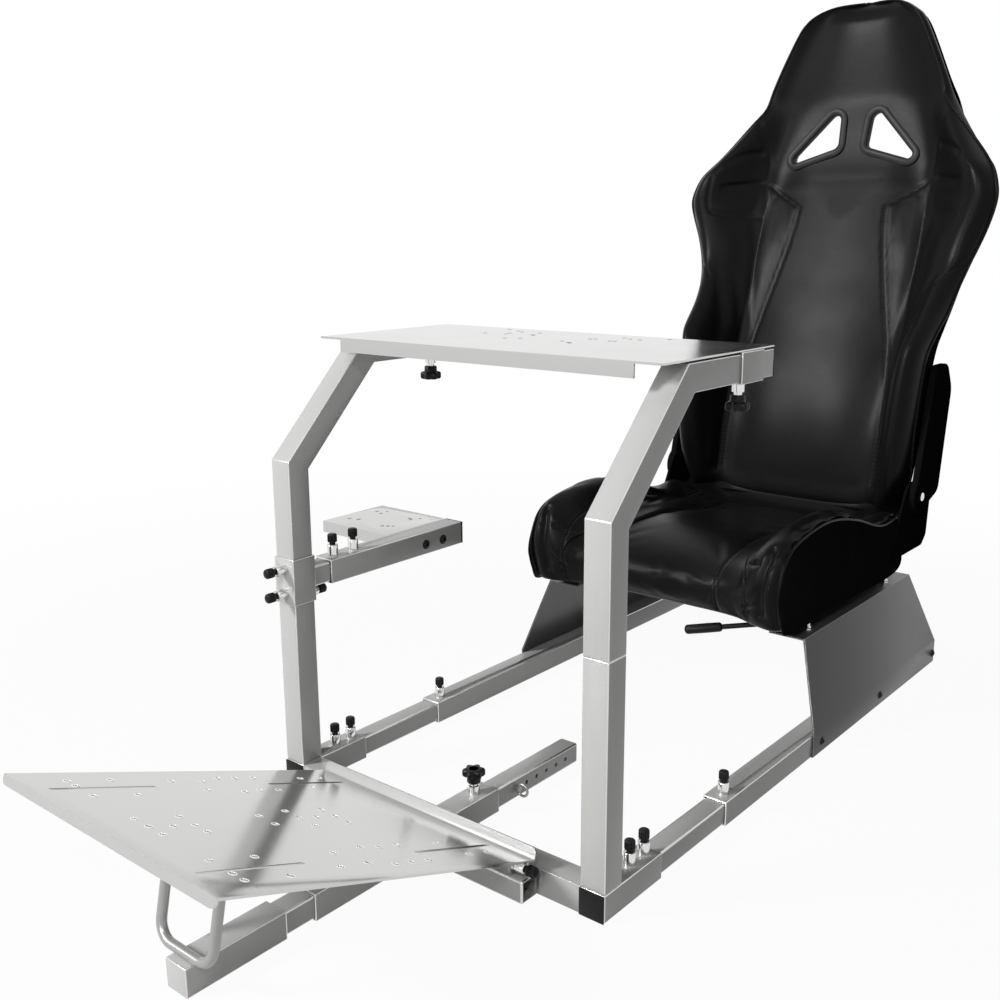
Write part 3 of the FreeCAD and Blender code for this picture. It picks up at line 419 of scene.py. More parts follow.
def stretched(tree, scale=(1, 1, 1)):
    """Object coordinates, scaled apart on each axis so that a texture runs along one of them."""
    place = add(tree, "ShaderNodeTexCoord")
    mapping = add(tree, "ShaderNodeMapping", Scale=scale)
    tree.links.new(place.outputs["Object"], mapping.inputs["Vector"])
    return mapping.outputs["Vector"]


def noise(tree, place, **values):
    node = add(tree, "ShaderNodeTexNoise", **values)
    tree.links.new(place, node.inputs["Vector"])
    return node.outputs["Fac"]


def combined(tree, operation, first, second, use_clamp=False):
    node = add(tree, "ShaderNodeMath", operation=operation, use_clamp=use_clamp)
    tree.links.new(first, node.inputs[0])
    tree.links.new(second, node.inputs[1])
    return node.outputs["Value"]


def ranged(tree, value, low, high):
    node = add(tree, "ShaderNodeMapRange", To_Min=low, To_Max=high)
    tree.links.new(value, node.inputs["Value"])
    return node.outputs["Result"]


def grey(value):
    return (value, value, value * 0.985)


def varied(tree, bsdf, tone, tones, gloss, roughnesses):
    """Lets one value shift the tone between two greys, and another the roughness between two limits."""
    node = add(tree, "ShaderNodeMix", data_type="RGBA")
    tree.links.new(tone, node.inputs["Factor"])
    node.inputs["A"].default_value = (*grey(tones[0]), 1)
    node.inputs["B"].default_value = (*grey(tones[1]), 1)
    tree.links.new(node.outputs["Result"], bsdf.inputs["Base Color"])
    tree.links.new(ranged(tree, gloss, *roughnesses), bsdf.inputs["Roughness"])


def bumped(tree, bsdf, height, strength, distance):
    node = add(tree, "ShaderNodeBump", Strength=strength, Distance=distance)
    tree.links.new(height, node.inputs["Height"])
    tree.links.new(node.outputs["Normal"], bsdf.inputs["Normal"])


def brushed_metal(name, tone, metallic, roughness, stretch, spread, gloss):
    """Silver metal with fine streaks along the axis that is stretched least."""
    material, tree, bsdf = shader(name, grey(tone), metallic, roughness, Specular_IOR_Level=gloss)
    streaks = noise(tree, stretched(tree, stretch), Scale=1.0, Detail=4.0, Roughness=0.6)
    clouds = noise(tree, stretched(tree), Scale=9.0, Detail=3.0)
    varied(tree, bsdf, ranged(tree, streaks, 0.25, 0.75), (tone - spread, tone + spread),
           combined(tree, "MULTIPLY", streaks, clouds), (roughness - 0.06, roughness + 0.12))
    bumped(tree, bsdf, streaks, 0.06, 0.4 * MM)
    return material


def leather(name, tone, roughness, grain, shine):
    """Black leather: small pebbles between fine creases, with broad soft unevenness in its gloss."""
    material, tree, bsdf = shader(name, grey(tone), 0.0, roughness, Specular_IOR_Level=shine)
    place = stretched(tree)
    pebbles = add(tree, "ShaderNodeTexVoronoi", feature="DISTANCE_TO_EDGE", Scale=grain)
    tree.links.new(place, pebbles.inputs["Vector"])
    creases = noise(tree, place, Scale=0.12 * grain, Detail=6.0, Roughness=0.65)
    clouds = noise(tree, place, Scale=14.0, Detail=3.0)
    varied(tree, bsdf, creases, (0.7 * tone, 1.4 * tone), clouds, (roughness - 0.05, roughness + 0.09))
    edge = ranged(tree, pebbles.outputs["Distance"], 0.0, 1.0)
    bumped(tree, bsdf, combined(tree, "ADD", edge, creases), 0.22, 0.5 * MM)
    return material


def moulded(name, tone, roughness, grain, gloss=0.16):
    """Black moulded plastic or paint with a fine even grain."""
    material, tree, bsdf = shader(name, grey(tone), 0.0, roughness, Specular_IOR_Level=gloss)
    grains = noise(tree, stretched(tree), Scale=grain, Detail=3.0)
    varied(tree, bsdf, grains, (0.7 * tone, 1.3 * tone), grains, (roughness - 0.08, roughness + 0.08))
    bumped(tree, bsdf, grains, 0.15, 0.3 * MM)
    return material


ALONG = {"X": (6, 420, 420), "Y": (420, 6, 420), "Z": (420, 420, 6)}
EVEN = (60, 60, 60)
TUBE_STEEL = {axis: brushed_metal("tube_steel_" + axis, 0.42, 0.1, 0.32, scale, 0.035, 0.3)
              for axis, scale in ALONG.items()}
PLATE_STEEL = brushed_metal("plate_steel", 0.58, 1.0, 0.17, ALONG["X"], 0.02, 0.5)
# Dark steel for the seat brackets; its tone, far darker than the other steel, is painted shade for the shadow
# and the black seat's reflection under the seat
SHADED_BRACKET_STEEL = brushed_metal("bracket_steel", 0.11, 0.15, 0.34, ALONG["Y"], 0.004, 0.25)
BRIGHT_STEEL = brushed_metal("bright_steel", 0.72, 1.0, 0.16, EVEN, 0.03, 0.5)
# Brighter steel for the rounds of tube and sheet edges: a painted highlight along each rounded edge
HIGHLIGHT_EDGE_STEEL = brushed_metal("highlight_edge_steel", 0.66, 0.9, 0.24, EVEN, 0.03, 0.5)
# Near-white steel for the rims round the pedal plate's holes: a painted highlight on the hole edges
HIGHLIGHT_RIM_STEEL = brushed_metal("highlight_rim_steel", 0.93, 1.0, 0.2, EVEN, 0.02, 0.5)
# A darker copy of the plate steel for the pedal plate's lip and flange: painted shade on these faces
SHADED_BEND_STEEL = brushed_metal("shaded_bend_steel", 0.36, 0.1, 0.36, ALONG["X"], 0.02, 0.25)
LEG_STEEL = brushed_metal("leg_steel", 0.34, 0.6, 0.3, ALONG["Z"], 0.03, 0.4)
BLACK_METAL = moulded("black_metal", 0.008, 0.38, 500)
RECLINER_PAINT = moulded("recliner_paint", 0.007, 0.45, 500, 0.0)
BLACK_PLASTIC = moulded("black_plastic", 0.007, 0.34, 700)
BEZEL_PLASTIC = moulded("trim_plastic", 0.022, 0.42, 900)
SEAT_LEATHER = leather("seat_leather", 0.005, 0.29, 900, 0.07)
SEAT_VINYL = leather("seat_back_vinyl", 0.012, 0.4, 700, 0.2)
SIDE_VINYL = leather("seat_side_vinyl", 0.010, 0.45, 700, 0.0)
STITCH_THREAD = moulded("stitch_thread", 0.035, 0.6, 2000)


# Stage: camera, pale floor and soft light

def add_camera():
    turn, dip, roll = (math.radians(a) for a in (CAMERA_TURN, CAMERA_DIP, CAMERA_ROLL))
    look = Vector((-math.sin(turn) * math.cos(dip), math.cos(turn) * math.cos(dip), -math.sin(dip)))
    level = Vector((math.cos(turn), math.sin(turn), 0))
    upright = level.cross(look)
    right = math.cos(roll) * level + math.sin(roll) * upright
    up = math.cos(roll) * upright - math.sin(roll) * level
    camera = link(bpy.data.objects.new("camera", bpy.data.cameras.new("camera")))
    camera.data.lens = CAMERA_LENS
    camera.data.sensor_width = CAMERA_SENSOR
    camera.data.clip_end = CAMERA_FAR
    camera.matrix_world = Matrix((right, up, -look)).transposed().to_4x4()
    camera.location = CAMERA_PLACE
    bpy.context.scene.camera = camera


def seen_ray(tree):
    """1 for rays that show the background: from the camera, or by way of gloss or glass."""
    path = add(tree, "ShaderNodeLightPath")
    total = path.outputs["Is Camera Ray"]
    for ray in ("Is Glossy Ray", "Is Transmission Ray"):
        total = combined(tree, "ADD", total, path.outputs[ray], use_clamp=True)
    return total


def mixed(tree, share, first, second, output):
    """Lays the second shader over the first by its share."""
    mix = add(tree, "ShaderNodeMixShader")
    tree.links.new(share, mix.inputs["Fac"])
    tree.links.new(first, mix.inputs[1])
    tree.links.new(second, mix.inputs[2])
    tree.links.new(mix.outputs["Shader"], tree.nodes[output].inputs["Surface"])


def add_world():
    world = bpy.data.worlds.new("studio")
    bpy.context.scene.world = world
    world.use_nodes = True
    tree = world.node_tree
    shown = add(tree, "ShaderNodeBackground", Color=WHITE, Strength=1.0)
    fill = tree.nodes["Background"]
    fill.inputs["Color"].default_value = WHITE
    fill.inputs["Strength"].default_value = WORLD_FILL
    mixed(tree, seen_ray(tree), fill.outputs["Background"], shown.outputs["Background"], "World Output")


def add_floor():
    bm = bmesh.new()
    bmesh.ops.create_grid(bm, x_segments=1, y_segments=1, size=FLOOR_HALF)
    floor = link(bpy.data.objects.new("floor", mesh_of("floor", bm)))
    floor.location.z = -FLOOR_DROP
    material, tree, bsdf = shader("floor", FLOOR_TONE, 0.0, FLOOR_ROUGHNESS)
    glow = add(tree, "ShaderNodeEmission", Color=WHITE, Strength=1.0)
    place = add(tree, "ShaderNodeTexCoord")
    away = add(tree, "ShaderNodeVectorMath", operation="LENGTH")
    tree.links.new(place.outputs["Object"], away.inputs["Vector"])
    fade = add(tree, "ShaderNodeMapRange", From_Min=FADE_NEAR, From_Max=FADE_FAR,
               To_Min=WHITE_NEAR, To_Max=WHITE_FAR)
    tree.links.new(away.outputs["Value"], fade.inputs["Value"])
    share = combined(tree, "MULTIPLY", seen_ray(tree), fade.outputs["Result"])
    mixed(tree, share, bsdf.outputs["BSDF"], glow.outputs["Emission"], "Material Output")
    floor.data.materials.append(material)


def add_lamp(name, place, target, size, power):
    lamp = link(bpy.data.objects.new(name, bpy.data.lights.new(name, "AREA")))
    lamp.data.shape = "RECTANGLE"
    lamp.data.size, lamp.data.size_y = size
    lamp.data.energy = power
    lamp.location = place
    lamp.rotation_euler = (Vector(target) - Vector(place)).to_track_quat("-Z", "Y").to_euler()


add_camera()
add_world()
add_floor()
for lamp in LAMPS:
    add_lamp(*lamp)


# Mesh tools

def welded(node):
    """A node's mesh with its corners joined."""
    bm = bmesh.new()
    bm.from_mesh(NODES[node].data)
    bmesh.ops.remove_doubles(bm, verts=bm.verts, dist=WELD)
    return bm


def loose_parts(node):
    """The box of each separate solid of a node, as (lowest corner, highest corner)."""
    bm = welded(node)
    left, boxes = set(bm.verts), []
    while left:
        front, found = [left.pop()], []
        while front:
            vert = front.pop()
            found.append(vert.co.copy())
            for edge in vert.link_edges:
                other = edge.other_vert(vert)
                if other in left:
                    left.discard(other)
                    front.append(other)
        boxes.append(tuple(Vector(pick(p[i] for p in found) for i in range(3)) for pick in (min, max)))
    bm.free()
    return sorted(boxes, key=lambda b: tuple(b[0]))


def clean_copy(node):
    """A node's mesh with its flat facets joined."""
    bm = welded(node)
    bmesh.ops.dissolve_limit(bm, angle_limit=math.radians(1), verts=bm.verts, edges=bm.edges)
    return bm


def long_edges(bm, shortest):
    return [e for e in bm.edges if len(e.link_faces) == 2 and e.is_convex
            and e.calc_face_angle() > EDGE_ANGLE and e.calc_length() > shortest]


def bevelled(bm, edges, radius, segments, mark=0):
    """Rounds edges; mark is the material slot of the rounds, which may hold a painted highlight."""
    bmesh.ops.bevel(bm, geom=edges, offset=radius, segments=segments, profile=0.5, affect="EDGES",
                    clamp_overlap=True, material=mark)


def soften(bm, radius):
    """Rounds the sharp outer edges of a mesh."""
    bevelled(bm, [e for e in bm.edges if e.is_convex and e.calc_face_angle(0) > 1], radius, 3)


def rounded_node(node, material, radius, shortest, segments, edge=None):
    """The node again with its long outer edges rounded, in its place; edge is the material of the rounds, a
    brighter steel that paints a highlight along them.
    """
    bm = clean_copy(node)
    bevelled(bm, long_edges(bm, shortest), radius, segments, 1 if edge else 0)
    stand_in(node, bm, material, 25, (edge,) if edge else ())


def angles(count):
    return [2 * math.pi * k / count for k in range(count)]


def in_metres(profile):
    return [(along * MM, radius * MM) for along, radius in profile]


def loops_to_faces(bm, loops, closed=False):
    """Skins loops of points, one to the next, and back to the first if closed."""
    rings = [[bm.verts.new(point) for point in loop] for loop in loops]
    count = len(rings[0])
    for low, high in zip(rings, rings[1:] + (rings[:1] if closed else [])):
        for k in range(count):
            bm.faces.new((low[k - 1], low[k], high[k], high[k - 1]))
    if not closed:
        bm.faces.new(rings[0][::-1])
        bm.faces.new(rings[-1])


def face_out(bm):
    bmesh.ops.recalc_face_normals(bm, faces=bm.faces)


def lathe(bm, profile, start, axis, sides, ripple=0.0, lobes=0):
    """Adds a turned form: profile is (distance along the axis, radius); lobes and ripple flute it."""
    axis = Vector(axis).normalized()
    across = axis.orthogonal().normalized()
    other = axis.cross(across)
    rings = []
    for along, radius in profile:
        middle = Vector(start) + axis * along
        ring = []
        for a in angles(sides):
            r = radius * (1 - ripple * (1 - math.cos(lobes * a)) / 2)
            ring.append(middle + across * r * math.cos(a) + other * r * math.sin(a))
        rings.append(ring)
    loops_to_faces(bm, rings)


def rounded_outline(corners, radii, steps):
    """Points round a polygon with round corners, each with its outward direction."""
    outline = []
    for k, (corner, radius) in enumerate(zip(corners, radii)):
        to_last = (corners[k - 1] - corner).normalized()
        to_next = (corners[(k + 1) % len(corners)] - corner).normalized()
        half = to_last.angle(to_next) / 2
        centre = corner + (to_last + to_next).normalized() * (radius / math.sin(half))
        first = (corner + to_last * (radius / math.tan(half)) - centre).normalized()
        last = (corner + to_next * (radius / math.tan(half)) - centre).normalized()
        for step in range(steps + 1):
            way = first.slerp(last, step / steps)
            outline.append((centre + way * radius, way))
    return outline


def swept(name, points, radius, cyclic=False, resolution=3, tapered=False):
    """A round tube along points, as a mesh; tapered, it runs out thin at both ends."""
    curve = bpy.data.curves.new(name, "CURVE")
    curve.dimensions = "3D"
    curve.bevel_depth = radius
    curve.bevel_resolution = resolution
    curve.use_fill_caps = not cyclic
    spline = curve.splines.new("POLY")
    spline.points.add(len(points) - 1)
    for k, (point, co) in enumerate(zip(spline.points, points)):
        point.co = (*co, 1)
        if tapered:
            point.radius = max(0.05, math.sin(math.pi * k / (len(points) - 1)) ** 0.5)
    spline.use_cyclic_u = cyclic
    obj = link(bpy.data.objects.new(name, curve))
    mesh = evaluated(obj)
    bpy.data.objects.remove(obj)
    return mesh


def smooth_path(points, count):
    """A smooth line through points, by Catmull-Rom, as count points."""
    points = [Vector(p) for p in points]
    padded = [2 * points[0] - points[1]] + points + [2 * points[-1] - points[-2]]
    path = []
    for k in range(count):
        t = k / (count - 1) * (len(points) - 1)
        i = min(int(t), len(points) - 2)
        t -= i
        a, b, c, d = padded[i:i + 4]
        path.append(0.5 * (2 * b + (c - a) * t + (2 * a - 5 * b + 4 * c - d) * t ** 2
                           + (3 * b - a - 3 * c + d) * t ** 3))
    return path


def mirrored_path(points):
    return [Vector((-p.x, p.y, p.z)) for p in points]


# Frame: rounded tubes and sheets

# Tubes and brackets get the brighter steel on their rounds as a painted edge highlight
for node, axis in TUBE_AXIS.items():
    rounded_node(node, TUBE_STEEL[axis], TUBE_ROUND, TUBE_EDGE, 3, HIGHLIGHT_EDGE_STEEL)
# The brackets' dark tone is painted shade from under the seat
for node in ("seat_bracket_left", "seat_bracket_right"):
    rounded_node(node, SHADED_BRACKET_STEEL, SHEET_ROUND, SMALL_EDGE, 2, HIGHLIGHT_EDGE_STEEL)


# Thumbscrews, star knobs, caps and sliders

def outward(middle, axis_index):
    """The unit vector along an axis that points away from the frame at that place; up for Z."""
    way = [0, 0, 0]
    way[axis_index] = 1 if axis_index == 2 else math.copysign(1, middle[axis_index])
    return Vector(way)


def thumbscrews(node, axis_index, collar_depth):
    """Knurled caps with narrow necks, each on a steel collar."""
    caps, collars = bmesh.new(), bmesh.new()
    for low, high in loose_parts(node):
        middle = (low + high) / 2
        axis = outward(middle, axis_index)
        start = middle + axis * ((high - low)[axis_index] / 2 - CAP_TALL)
        lathe(caps, [(0, CAP_NECK_R), (0.2 * CAP_TALL, CAP_NECK_R), (0.23 * CAP_TALL, 0.92 * CAP_R),
                     (0.27 * CAP_TALL, CAP_R), (0.86 * CAP_TALL, CAP_R), (0.95 * CAP_TALL, 0.92 * CAP_R),
                     (CAP_TALL, 0.74 * CAP_R)], start, axis, 4 * CAP_FLUTES, CAP_RIPPLE, CAP_FLUTES)
        lathe(collars, [(-collar_depth, COLLAR_R), (-1.4 * MM, COLLAR_R), (-0.5 * MM, 0.94 * COLLAR_R),
                        (0.2 * MM, 0.76 * COLLAR_R)], start, axis, 40)
    stand_in(node, caps, BLACK_PLASTIC)
    piece(node + "_collars", collars, body_of(node), BRIGHT_STEEL)


def star_knobs(node, axis):
    """Lobed knobs on a round neck, each over its steel stud."""
    knobs, studs = bmesh.new(), bmesh.new()
    for low, high in loose_parts(node):
        height = high.z - low.z
        start = (low + high) / 2 - axis * height / 2
        rise = height - STAR_TALL
        top = rise + STAR_TALL
        lathe(studs, [(0, 1.5 * STUD_R), (0.5 * rise, 1.5 * STUD_R), (0.52 * rise, STUD_R),
                      (0.75 * rise, STUD_R)], start, axis, 28)
        lathe(knobs, [(rise - STAR_NECK, 0.52 * STAR_R), (rise - 0.8 * STAR_NECK, 0.6 * STAR_R),
                      (rise + 1 * MM, 0.62 * STAR_R)], start, axis, 36)
        lathe(knobs, [(rise, 0.7 * STAR_R), (rise + 1 * MM, 0.9 * STAR_R), (rise + 3 * MM, STAR_R),
                      (top - 3 * MM, STAR_R), (top - 1 * MM, 0.92 * STAR_R), (top, 0.74 * STAR_R)],
              start, axis, 16 * STAR_LOBES, STAR_RIPPLE, STAR_LOBES)
        lathe(knobs, [(top - 2 * MM, 0.45 * STAR_R), (top, 0.42 * STAR_R)], start, axis, 36)
    stand_in(node, knobs, BLACK_PLASTIC)
    piece(node + "_studs", studs, body_of(node), BRIGHT_STEEL)


for node, (axis_index, depth) in THUMBSCREWS.items():
    thumbscrews(node, axis_index, depth)
star_knobs("pedal_star_knob", UP)
star_knobs("foot_star_knob", UP)
star_knobs("deck_star_knobs", -UP)
for node in ("frame_end_caps", "rail_end_caps", "arm_end_cap"):
    rounded_node(node, BLACK_PLASTIC, CAP_ROUND, SMALL_EDGE, 2)
for node in ("slider_channels", "slider_runners", "seat_pan"):
    rounded_node(node, BLACK_METAL, SLIDER_ROUND, SMALL_EDGE, 1)

# Recliner covers and plates
pivot = Vector(JOINTS["backrest_recline"]["pos_m"])
covers = clean_copy("recliner_covers")
corners = [e for e in covers.edges if e.is_convex and e.calc_face_angle(0) > 0.3
           and abs((e.verts[0].co - e.verts[1].co).normalized().x) > 0.99]
bevelled(covers, corners, COVER_CORNER, 6)
soften(covers, COVER_ROUND)
stand_in("recliner_covers", covers, RECLINER_PAINT, 30)
plates = bmesh.new()
outline = rounded_outline([pivot + Vector((0, y, z)) * MM for y, z in RECLINER_CORNERS],
                          [radius * MM for radius in RECLINER_RADII], 6)
for low, high in loose_parts("recliner_plates"):
    loops_to_faces(plates, [[Vector((x, place.y, place.z)) for place, _ in outline] for x in (low.x, high.x)])
face_out(plates)
soften(plates, RECLINER_ROUND)
stand_in("recliner_plates", plates, RECLINER_PAINT, 30)


# Bolts, nuts and pins

def bolts(name, body, places, axis, radius):
    """Black domed screw heads on washers, each with a socket."""
    bm = bmesh.new()
    washer = [(-0.5 * MM, 1.45 * radius), (0.9 * MM, 1.45 * radius), (1.1 * MM, 1.4 * radius)]
    head = [(1 * MM, radius), (0.35 * radius, radius), (0.62 * radius, 0.8 * radius),
            (0.68 * radius, 0.5 * radius), (0.3 * radius, 0.48 * radius)]
    for place in places:
        lathe(bm, washer, place, axis, 32)
        lathe(bm, head, place, axis, 30)
    piece(name, bm, body, BLACK_METAL)


bracket_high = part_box("seat_bracket_left")[1]
for side, name in ((1, "left"), (-1, "right")):
    bolts("strip_bolts_" + name, "seat_frame",
          [(side * bracket_high[0], y, STRIP_BOLT_Z) for y in STRIP_BOLT_Y], (side, 0, 0), STRIP_BOLT_R)
bolts("tray_bolts", "shifter_carrier", [(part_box("shifter_arm")[1][0], y, TRAY_BOLT_Z) for y in TRAY_BOLT_Y],
      ACROSS, TRAY_BOLT_R)
nuts = bmesh.new()
for y in SLIDER_NUT_Y:
    for side in SIDES:
        for profile, sides in ((NUT_WASHER, 32), (NUT_HEXAGON, 6), (NUT_STUD, 20)):
            lathe(nuts, in_metres(profile), (side * SLIDER_NUT_X, y, bracket_high[2]), UP, sides)
piece("slider_nuts", nuts, "seat_frame", BRIGHT_STEEL, 30)
pin_low, pin_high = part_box("recliner_pins")
pins = bmesh.new()
for side in SIDES:
    face = (side * pin_high[0], (pin_low[1] + pin_high[1]) / 2, (pin_low[2] + pin_high[2]) / 2)
    lathe(pins, in_metres(PIN_HEAD), face, (side, 0, 0), 40)
stand_in("recliner_pins", pins, BRIGHT_STEEL)


# Sheets with their holes

def drilled_node(node, material, holes, slots=(), painted_shade=None):
    """The node with its edges rounded and cut by round holes and slots: (place, axis, radius[, half run]).

    The last argument tells which faces get the darker steel: painted shade for the dim reflection of a bent
    edge.
    """
    bm = clean_copy(node)
    bevelled(bm, long_edges(bm, TUBE_EDGE), SHEET_ROUND, 2)
    sheet = link(bpy.data.objects.new(node + "_sheet", mesh_of(node + "_sheet", bm)))
    cutter = bmesh.new()
    for place, axis, radius in holes:
        lathe(cutter, [(-DRILL_REACH, radius), (DRILL_REACH, radius)], place, axis, 28)
    for place, axis, radius, run in slots:
        stadium(cutter, place, axis, radius, run)
    mesh = cut(sheet, mesh_of(node + "_drill", cutter))
    for face in mesh.polygons:
        face.material_index = int(bool(painted_shade) and painted_shade(face))
    stand_in(node, mesh, material, 30, (SHADED_BEND_STEEL,))


def cut(obj, cutter):
    """The object's mesh with the cutter's form taken away; the object itself goes."""
    tool = link(bpy.data.objects.new("cutter", cutter))
    modifier = obj.modifiers.new("cut", "BOOLEAN")
    modifier.operation = "DIFFERENCE"
    modifier.solver = "EXACT"
    modifier.object = tool
    mesh = evaluated(obj)
    for spare in (obj, tool):
        bpy.data.objects.remove(spare)
    return mesh


def stadium(bm, place, axis, radius, run):
    """A prism with round ends, to cut a slot: run is the vector from its middle to the centre of an end."""
    axis, run = Vector(axis).normalized(), Vector(run)
    along = run.normalized()
    across = axis.cross(along)
    rings = []
    for depth in (-DRILL_REACH, DRILL_REACH):
        ring = []
        for k in range(2 * SLOT_STEPS):
            a = math.pi * k / SLOT_STEPS
            end = run if k <= SLOT_STEPS else -run
            way = along * math.sin(a) + across * math.cos(a)
            ring.append(Vector(place) + axis * depth + end + radius * way)
        rings.append(ring)
    loops_to_faces(bm, rings)


deck_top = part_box("wheel_plate")[1][2]
drilled_node("wheel_plate", PLATE_STEEL, [((x * MM, y * MM, deck_top), UP, HOLE_R) for x, y in DECK_HOLES])

tray_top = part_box("shifter_tray")[1][2]
tray_places = [(x, y) for x in TRAY_X for y in TRAY_Y]
tray_holes = [((x + dx, y + dy, tray_top), UP, r) for x, y in tray_places for dx, dy, r in TRAY_HOLES]
dx, dy, slot_r = TRAY_SLOT
tray_slots = [((x + dx, y + dy, tray_top), UP, slot_r, TRAY_SLOT_RUN) for x, y in tray_places]
drilled_node("shifter_tray", PLATE_STEEL, tray_holes, tray_slots)

hinge = Vector(JOINTS["pedal_tilt"]["pos_m"])


def plate_places(rows):
    """Places in the pedal plate by distance from its hinge and half width, on both sides of its midline."""
    places = []
    for along, half_widths in rows.items():
        middle = hinge + PEDAL_ALONG * (along * MM) + PEDAL_NORMAL * (PEDAL_FACE - SHEET_HALF)
        for x in half_widths:
            places += [middle + ACROSS * (side * x * MM) for side in (SIDES if x > PEDAL_MIDLINE else (1,))]
    return places


def shaded_bends(face):
    """Tells the pedal plate's lip and flange from its flat; they get the darker steel as painted shade."""
    reach = face.center - hinge
    lip = reach.dot(PEDAL_NORMAL) > PEDAL_FACE + LIP_RISE
    return lip or face.normal.dot(PEDAL_ALONG) > FLANGE_FACING and reach.dot(PEDAL_ALONG) > FLANGE_ALONG


pedal_holes = [(place, PEDAL_NORMAL, HOLE_R) for place in plate_places(PEDAL_HOLES)]
pedal_slots = [(place, PEDAL_NORMAL, PEDAL_SLOT_R, PEDAL_ALONG * PEDAL_SLOT_RUN)
               for place in plate_places(PEDAL_SLOTS)]
drilled_node("pedal_plate", PLATE_STEEL, pedal_holes, pedal_slots, shaded_bends)
# Raised rims round the holes, in near-white steel that paints the highlight of the hole edges
rims = bmesh.new()
for place, axis, _ in pedal_holes:
    along = axis.cross(ACROSS)
    middle = place + axis * SHEET_HALF
    loops = []
    for a in angles(BURR_SIDES):
        way = ACROSS * math.cos(a) + along * math.sin(a)
        loops.append([middle + way * r * MM + axis * h * MM for r, h in BURR_SECTION])
    loops_to_faces(rims, loops, True)
face_out(rims)
piece("hole_rims", rims, body_of("pedal_plate"), HIGHLIGHT_RIM_STEEL)


# Rods: the pedal leg, the ring pin and the slide release lever

leg_low, leg_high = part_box("foot_leg")
leg_half = leg_high[0] - LEG_R
leg_foot = Vector((0, leg_low[1] + LEG_R, leg_low[2] + LEG_R))
leg_rise = (leg_high[2] - leg_foot.z - LEG_R * math.sin(LEG_LEAN)) / math.cos(LEG_LEAN)
leg_up = Vector((0, math.sin(LEG_LEAN), math.cos(LEG_LEAN)))
half_leg = [leg_foot + Vector((leg_half, 0, 0)) + leg_up * leg_rise]
for k in range(BEND_STEPS + 1):
    a = math.pi / 2 * k / BEND_STEPS
    bend_x = leg_half - LEG_BEND + LEG_BEND * math.cos(a)
    half_leg.append(leg_foot + Vector((bend_x, 0, 0)) + leg_up * (LEG_BEND - LEG_BEND * math.sin(a)))
leg_mesh = swept("foot_leg", half_leg + mirrored_path(half_leg)[::-1], LEG_R, resolution=5)
stand_in("foot_leg", leg_mesh, LEG_STEEL)

ring_low, ring_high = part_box("ring_pin")
ring_y, ring_z = ((ring_low[i] + ring_high[i]) / 2 for i in (1, 2))
ring_middle = Vector((ring_high[0] - RING_R - RING_WIRE, ring_y, ring_z))
ring_path = [ring_middle + Vector((math.cos(a), 0, math.sin(a))) * RING_R for a in angles(RING_SIDES)]
ring_pin = bmesh.new()
ring_pin.from_mesh(swept("ring", ring_path, RING_WIRE, True, 4))
lathe(ring_pin, in_metres(RING_PIN), (ring_low[0], ring_middle.y, ring_middle.z), ACROSS, 28)
stand_in("ring_pin", ring_pin, LEG_STEEL)

lever_root = Vector(JOINTS["release_lift"]["pos_m"])
lever_path = smooth_path([lever_root + LEVER_REACH * share for share in LEVER_SHARES], 24)
lever = bmesh.new()
lever.from_mesh(swept("lever", lever_path, LEVER_R, resolution=4))
lathe(lever, in_metres(LEVER_HUB), lever_root, ACROSS, 28)
grip_run = LEVER_REACH.length * GRIP_SHARE
grip = [(0, 0.6 * GRIP_R), (1.5 * MM, 0.85 * GRIP_R), (4 * MM, 0.96 * GRIP_R), (0.4 * grip_run, GRIP_R),
        (grip_run - 5 * MM, 0.97 * GRIP_R), (grip_run - 2 * MM, 0.8 * GRIP_R), (grip_run, 0.4 * GRIP_R)]
lathe(lever, grip, lever_root + LEVER_REACH * (1 - GRIP_SHARE), LEVER_REACH, 32)
stand_in("slider_lever", lever, BLACK_PLASTIC)


# Seat: skins, stuffing and sewing

def cage(name, rings):
    """A closed control mesh through rings of points."""
    bm = bmesh.new()
    loops_to_faces(bm, rings)
    face_out(bm)
    return mesh_of(name, bm)


def subdivided(name, mesh, levels):
    obj = link(bpy.data.objects.new(name, mesh))
    modifier = obj.modifiers.new("smooth", "SUBSURF")
    modifier.levels = modifier.render_levels = levels
    result = evaluated(obj)
    bpy.data.objects.remove(obj)
    return result


def smooth_skin(name, rings, levels, marks=()):
    """A smooth closed mesh that passes through the rings' points, which stay its first vertices.

    marks is the finish of the strip of faces before each point of a ring.
    """
    goal = [Vector(p) for ring in rings for p in ring]
    control = cage(name, rings)
    for k in range(len(marks) * (len(rings) - 1)):
        control.polygons[k].material_index = marks[k % len(marks)]
    for _ in range(FIT_ROUNDS):
        reached = subdivided(name, control, 2)
        for vertex, wanted, got in zip(control.vertices, goal, reached.vertices):
            vertex.co += FIT_STEP * (wanted - got.co)
    return subdivided(name, control, levels)


def surface_of(mesh):
    return BVHTree.FromPolygons([v.co for v in mesh.vertices], [p.vertices for p in mesh.polygons])


def laid_on(surface, path, lift=0.0):
    """The path moved onto a surface, and lifted off it."""
    laid = []
    for point in path:
        place, normal, _, _ = surface.find_nearest(point)
        laid.append(place + normal * lift)
    return laid


def front_hit(surface, x, z):
    """Where a surface is met from the front of the seat, or nothing."""
    return surface.ray_cast(Vector((x, 0, z)), REARWARD)[0]


def both_sides(surface, line, count, floor=0):
    """A line of half widths and heights over a floor, thrown on a surface from the front, and its mirror."""
    path = smooth_path([Vector((x, 0, floor + z)) * MM for x, z in line], count)
    hits = [front_hit(surface, p.x, p.z) for p in path]
    path = [hit for hit in hits if hit is not None]
    return [path, mirrored_path(path)]


def point_tree(paths):
    points = [point for path in paths for point in path]
    tree = KDTree(len(points))
    for k, point in enumerate(points):
        tree.insert(point, k)
    tree.balance()
    return tree


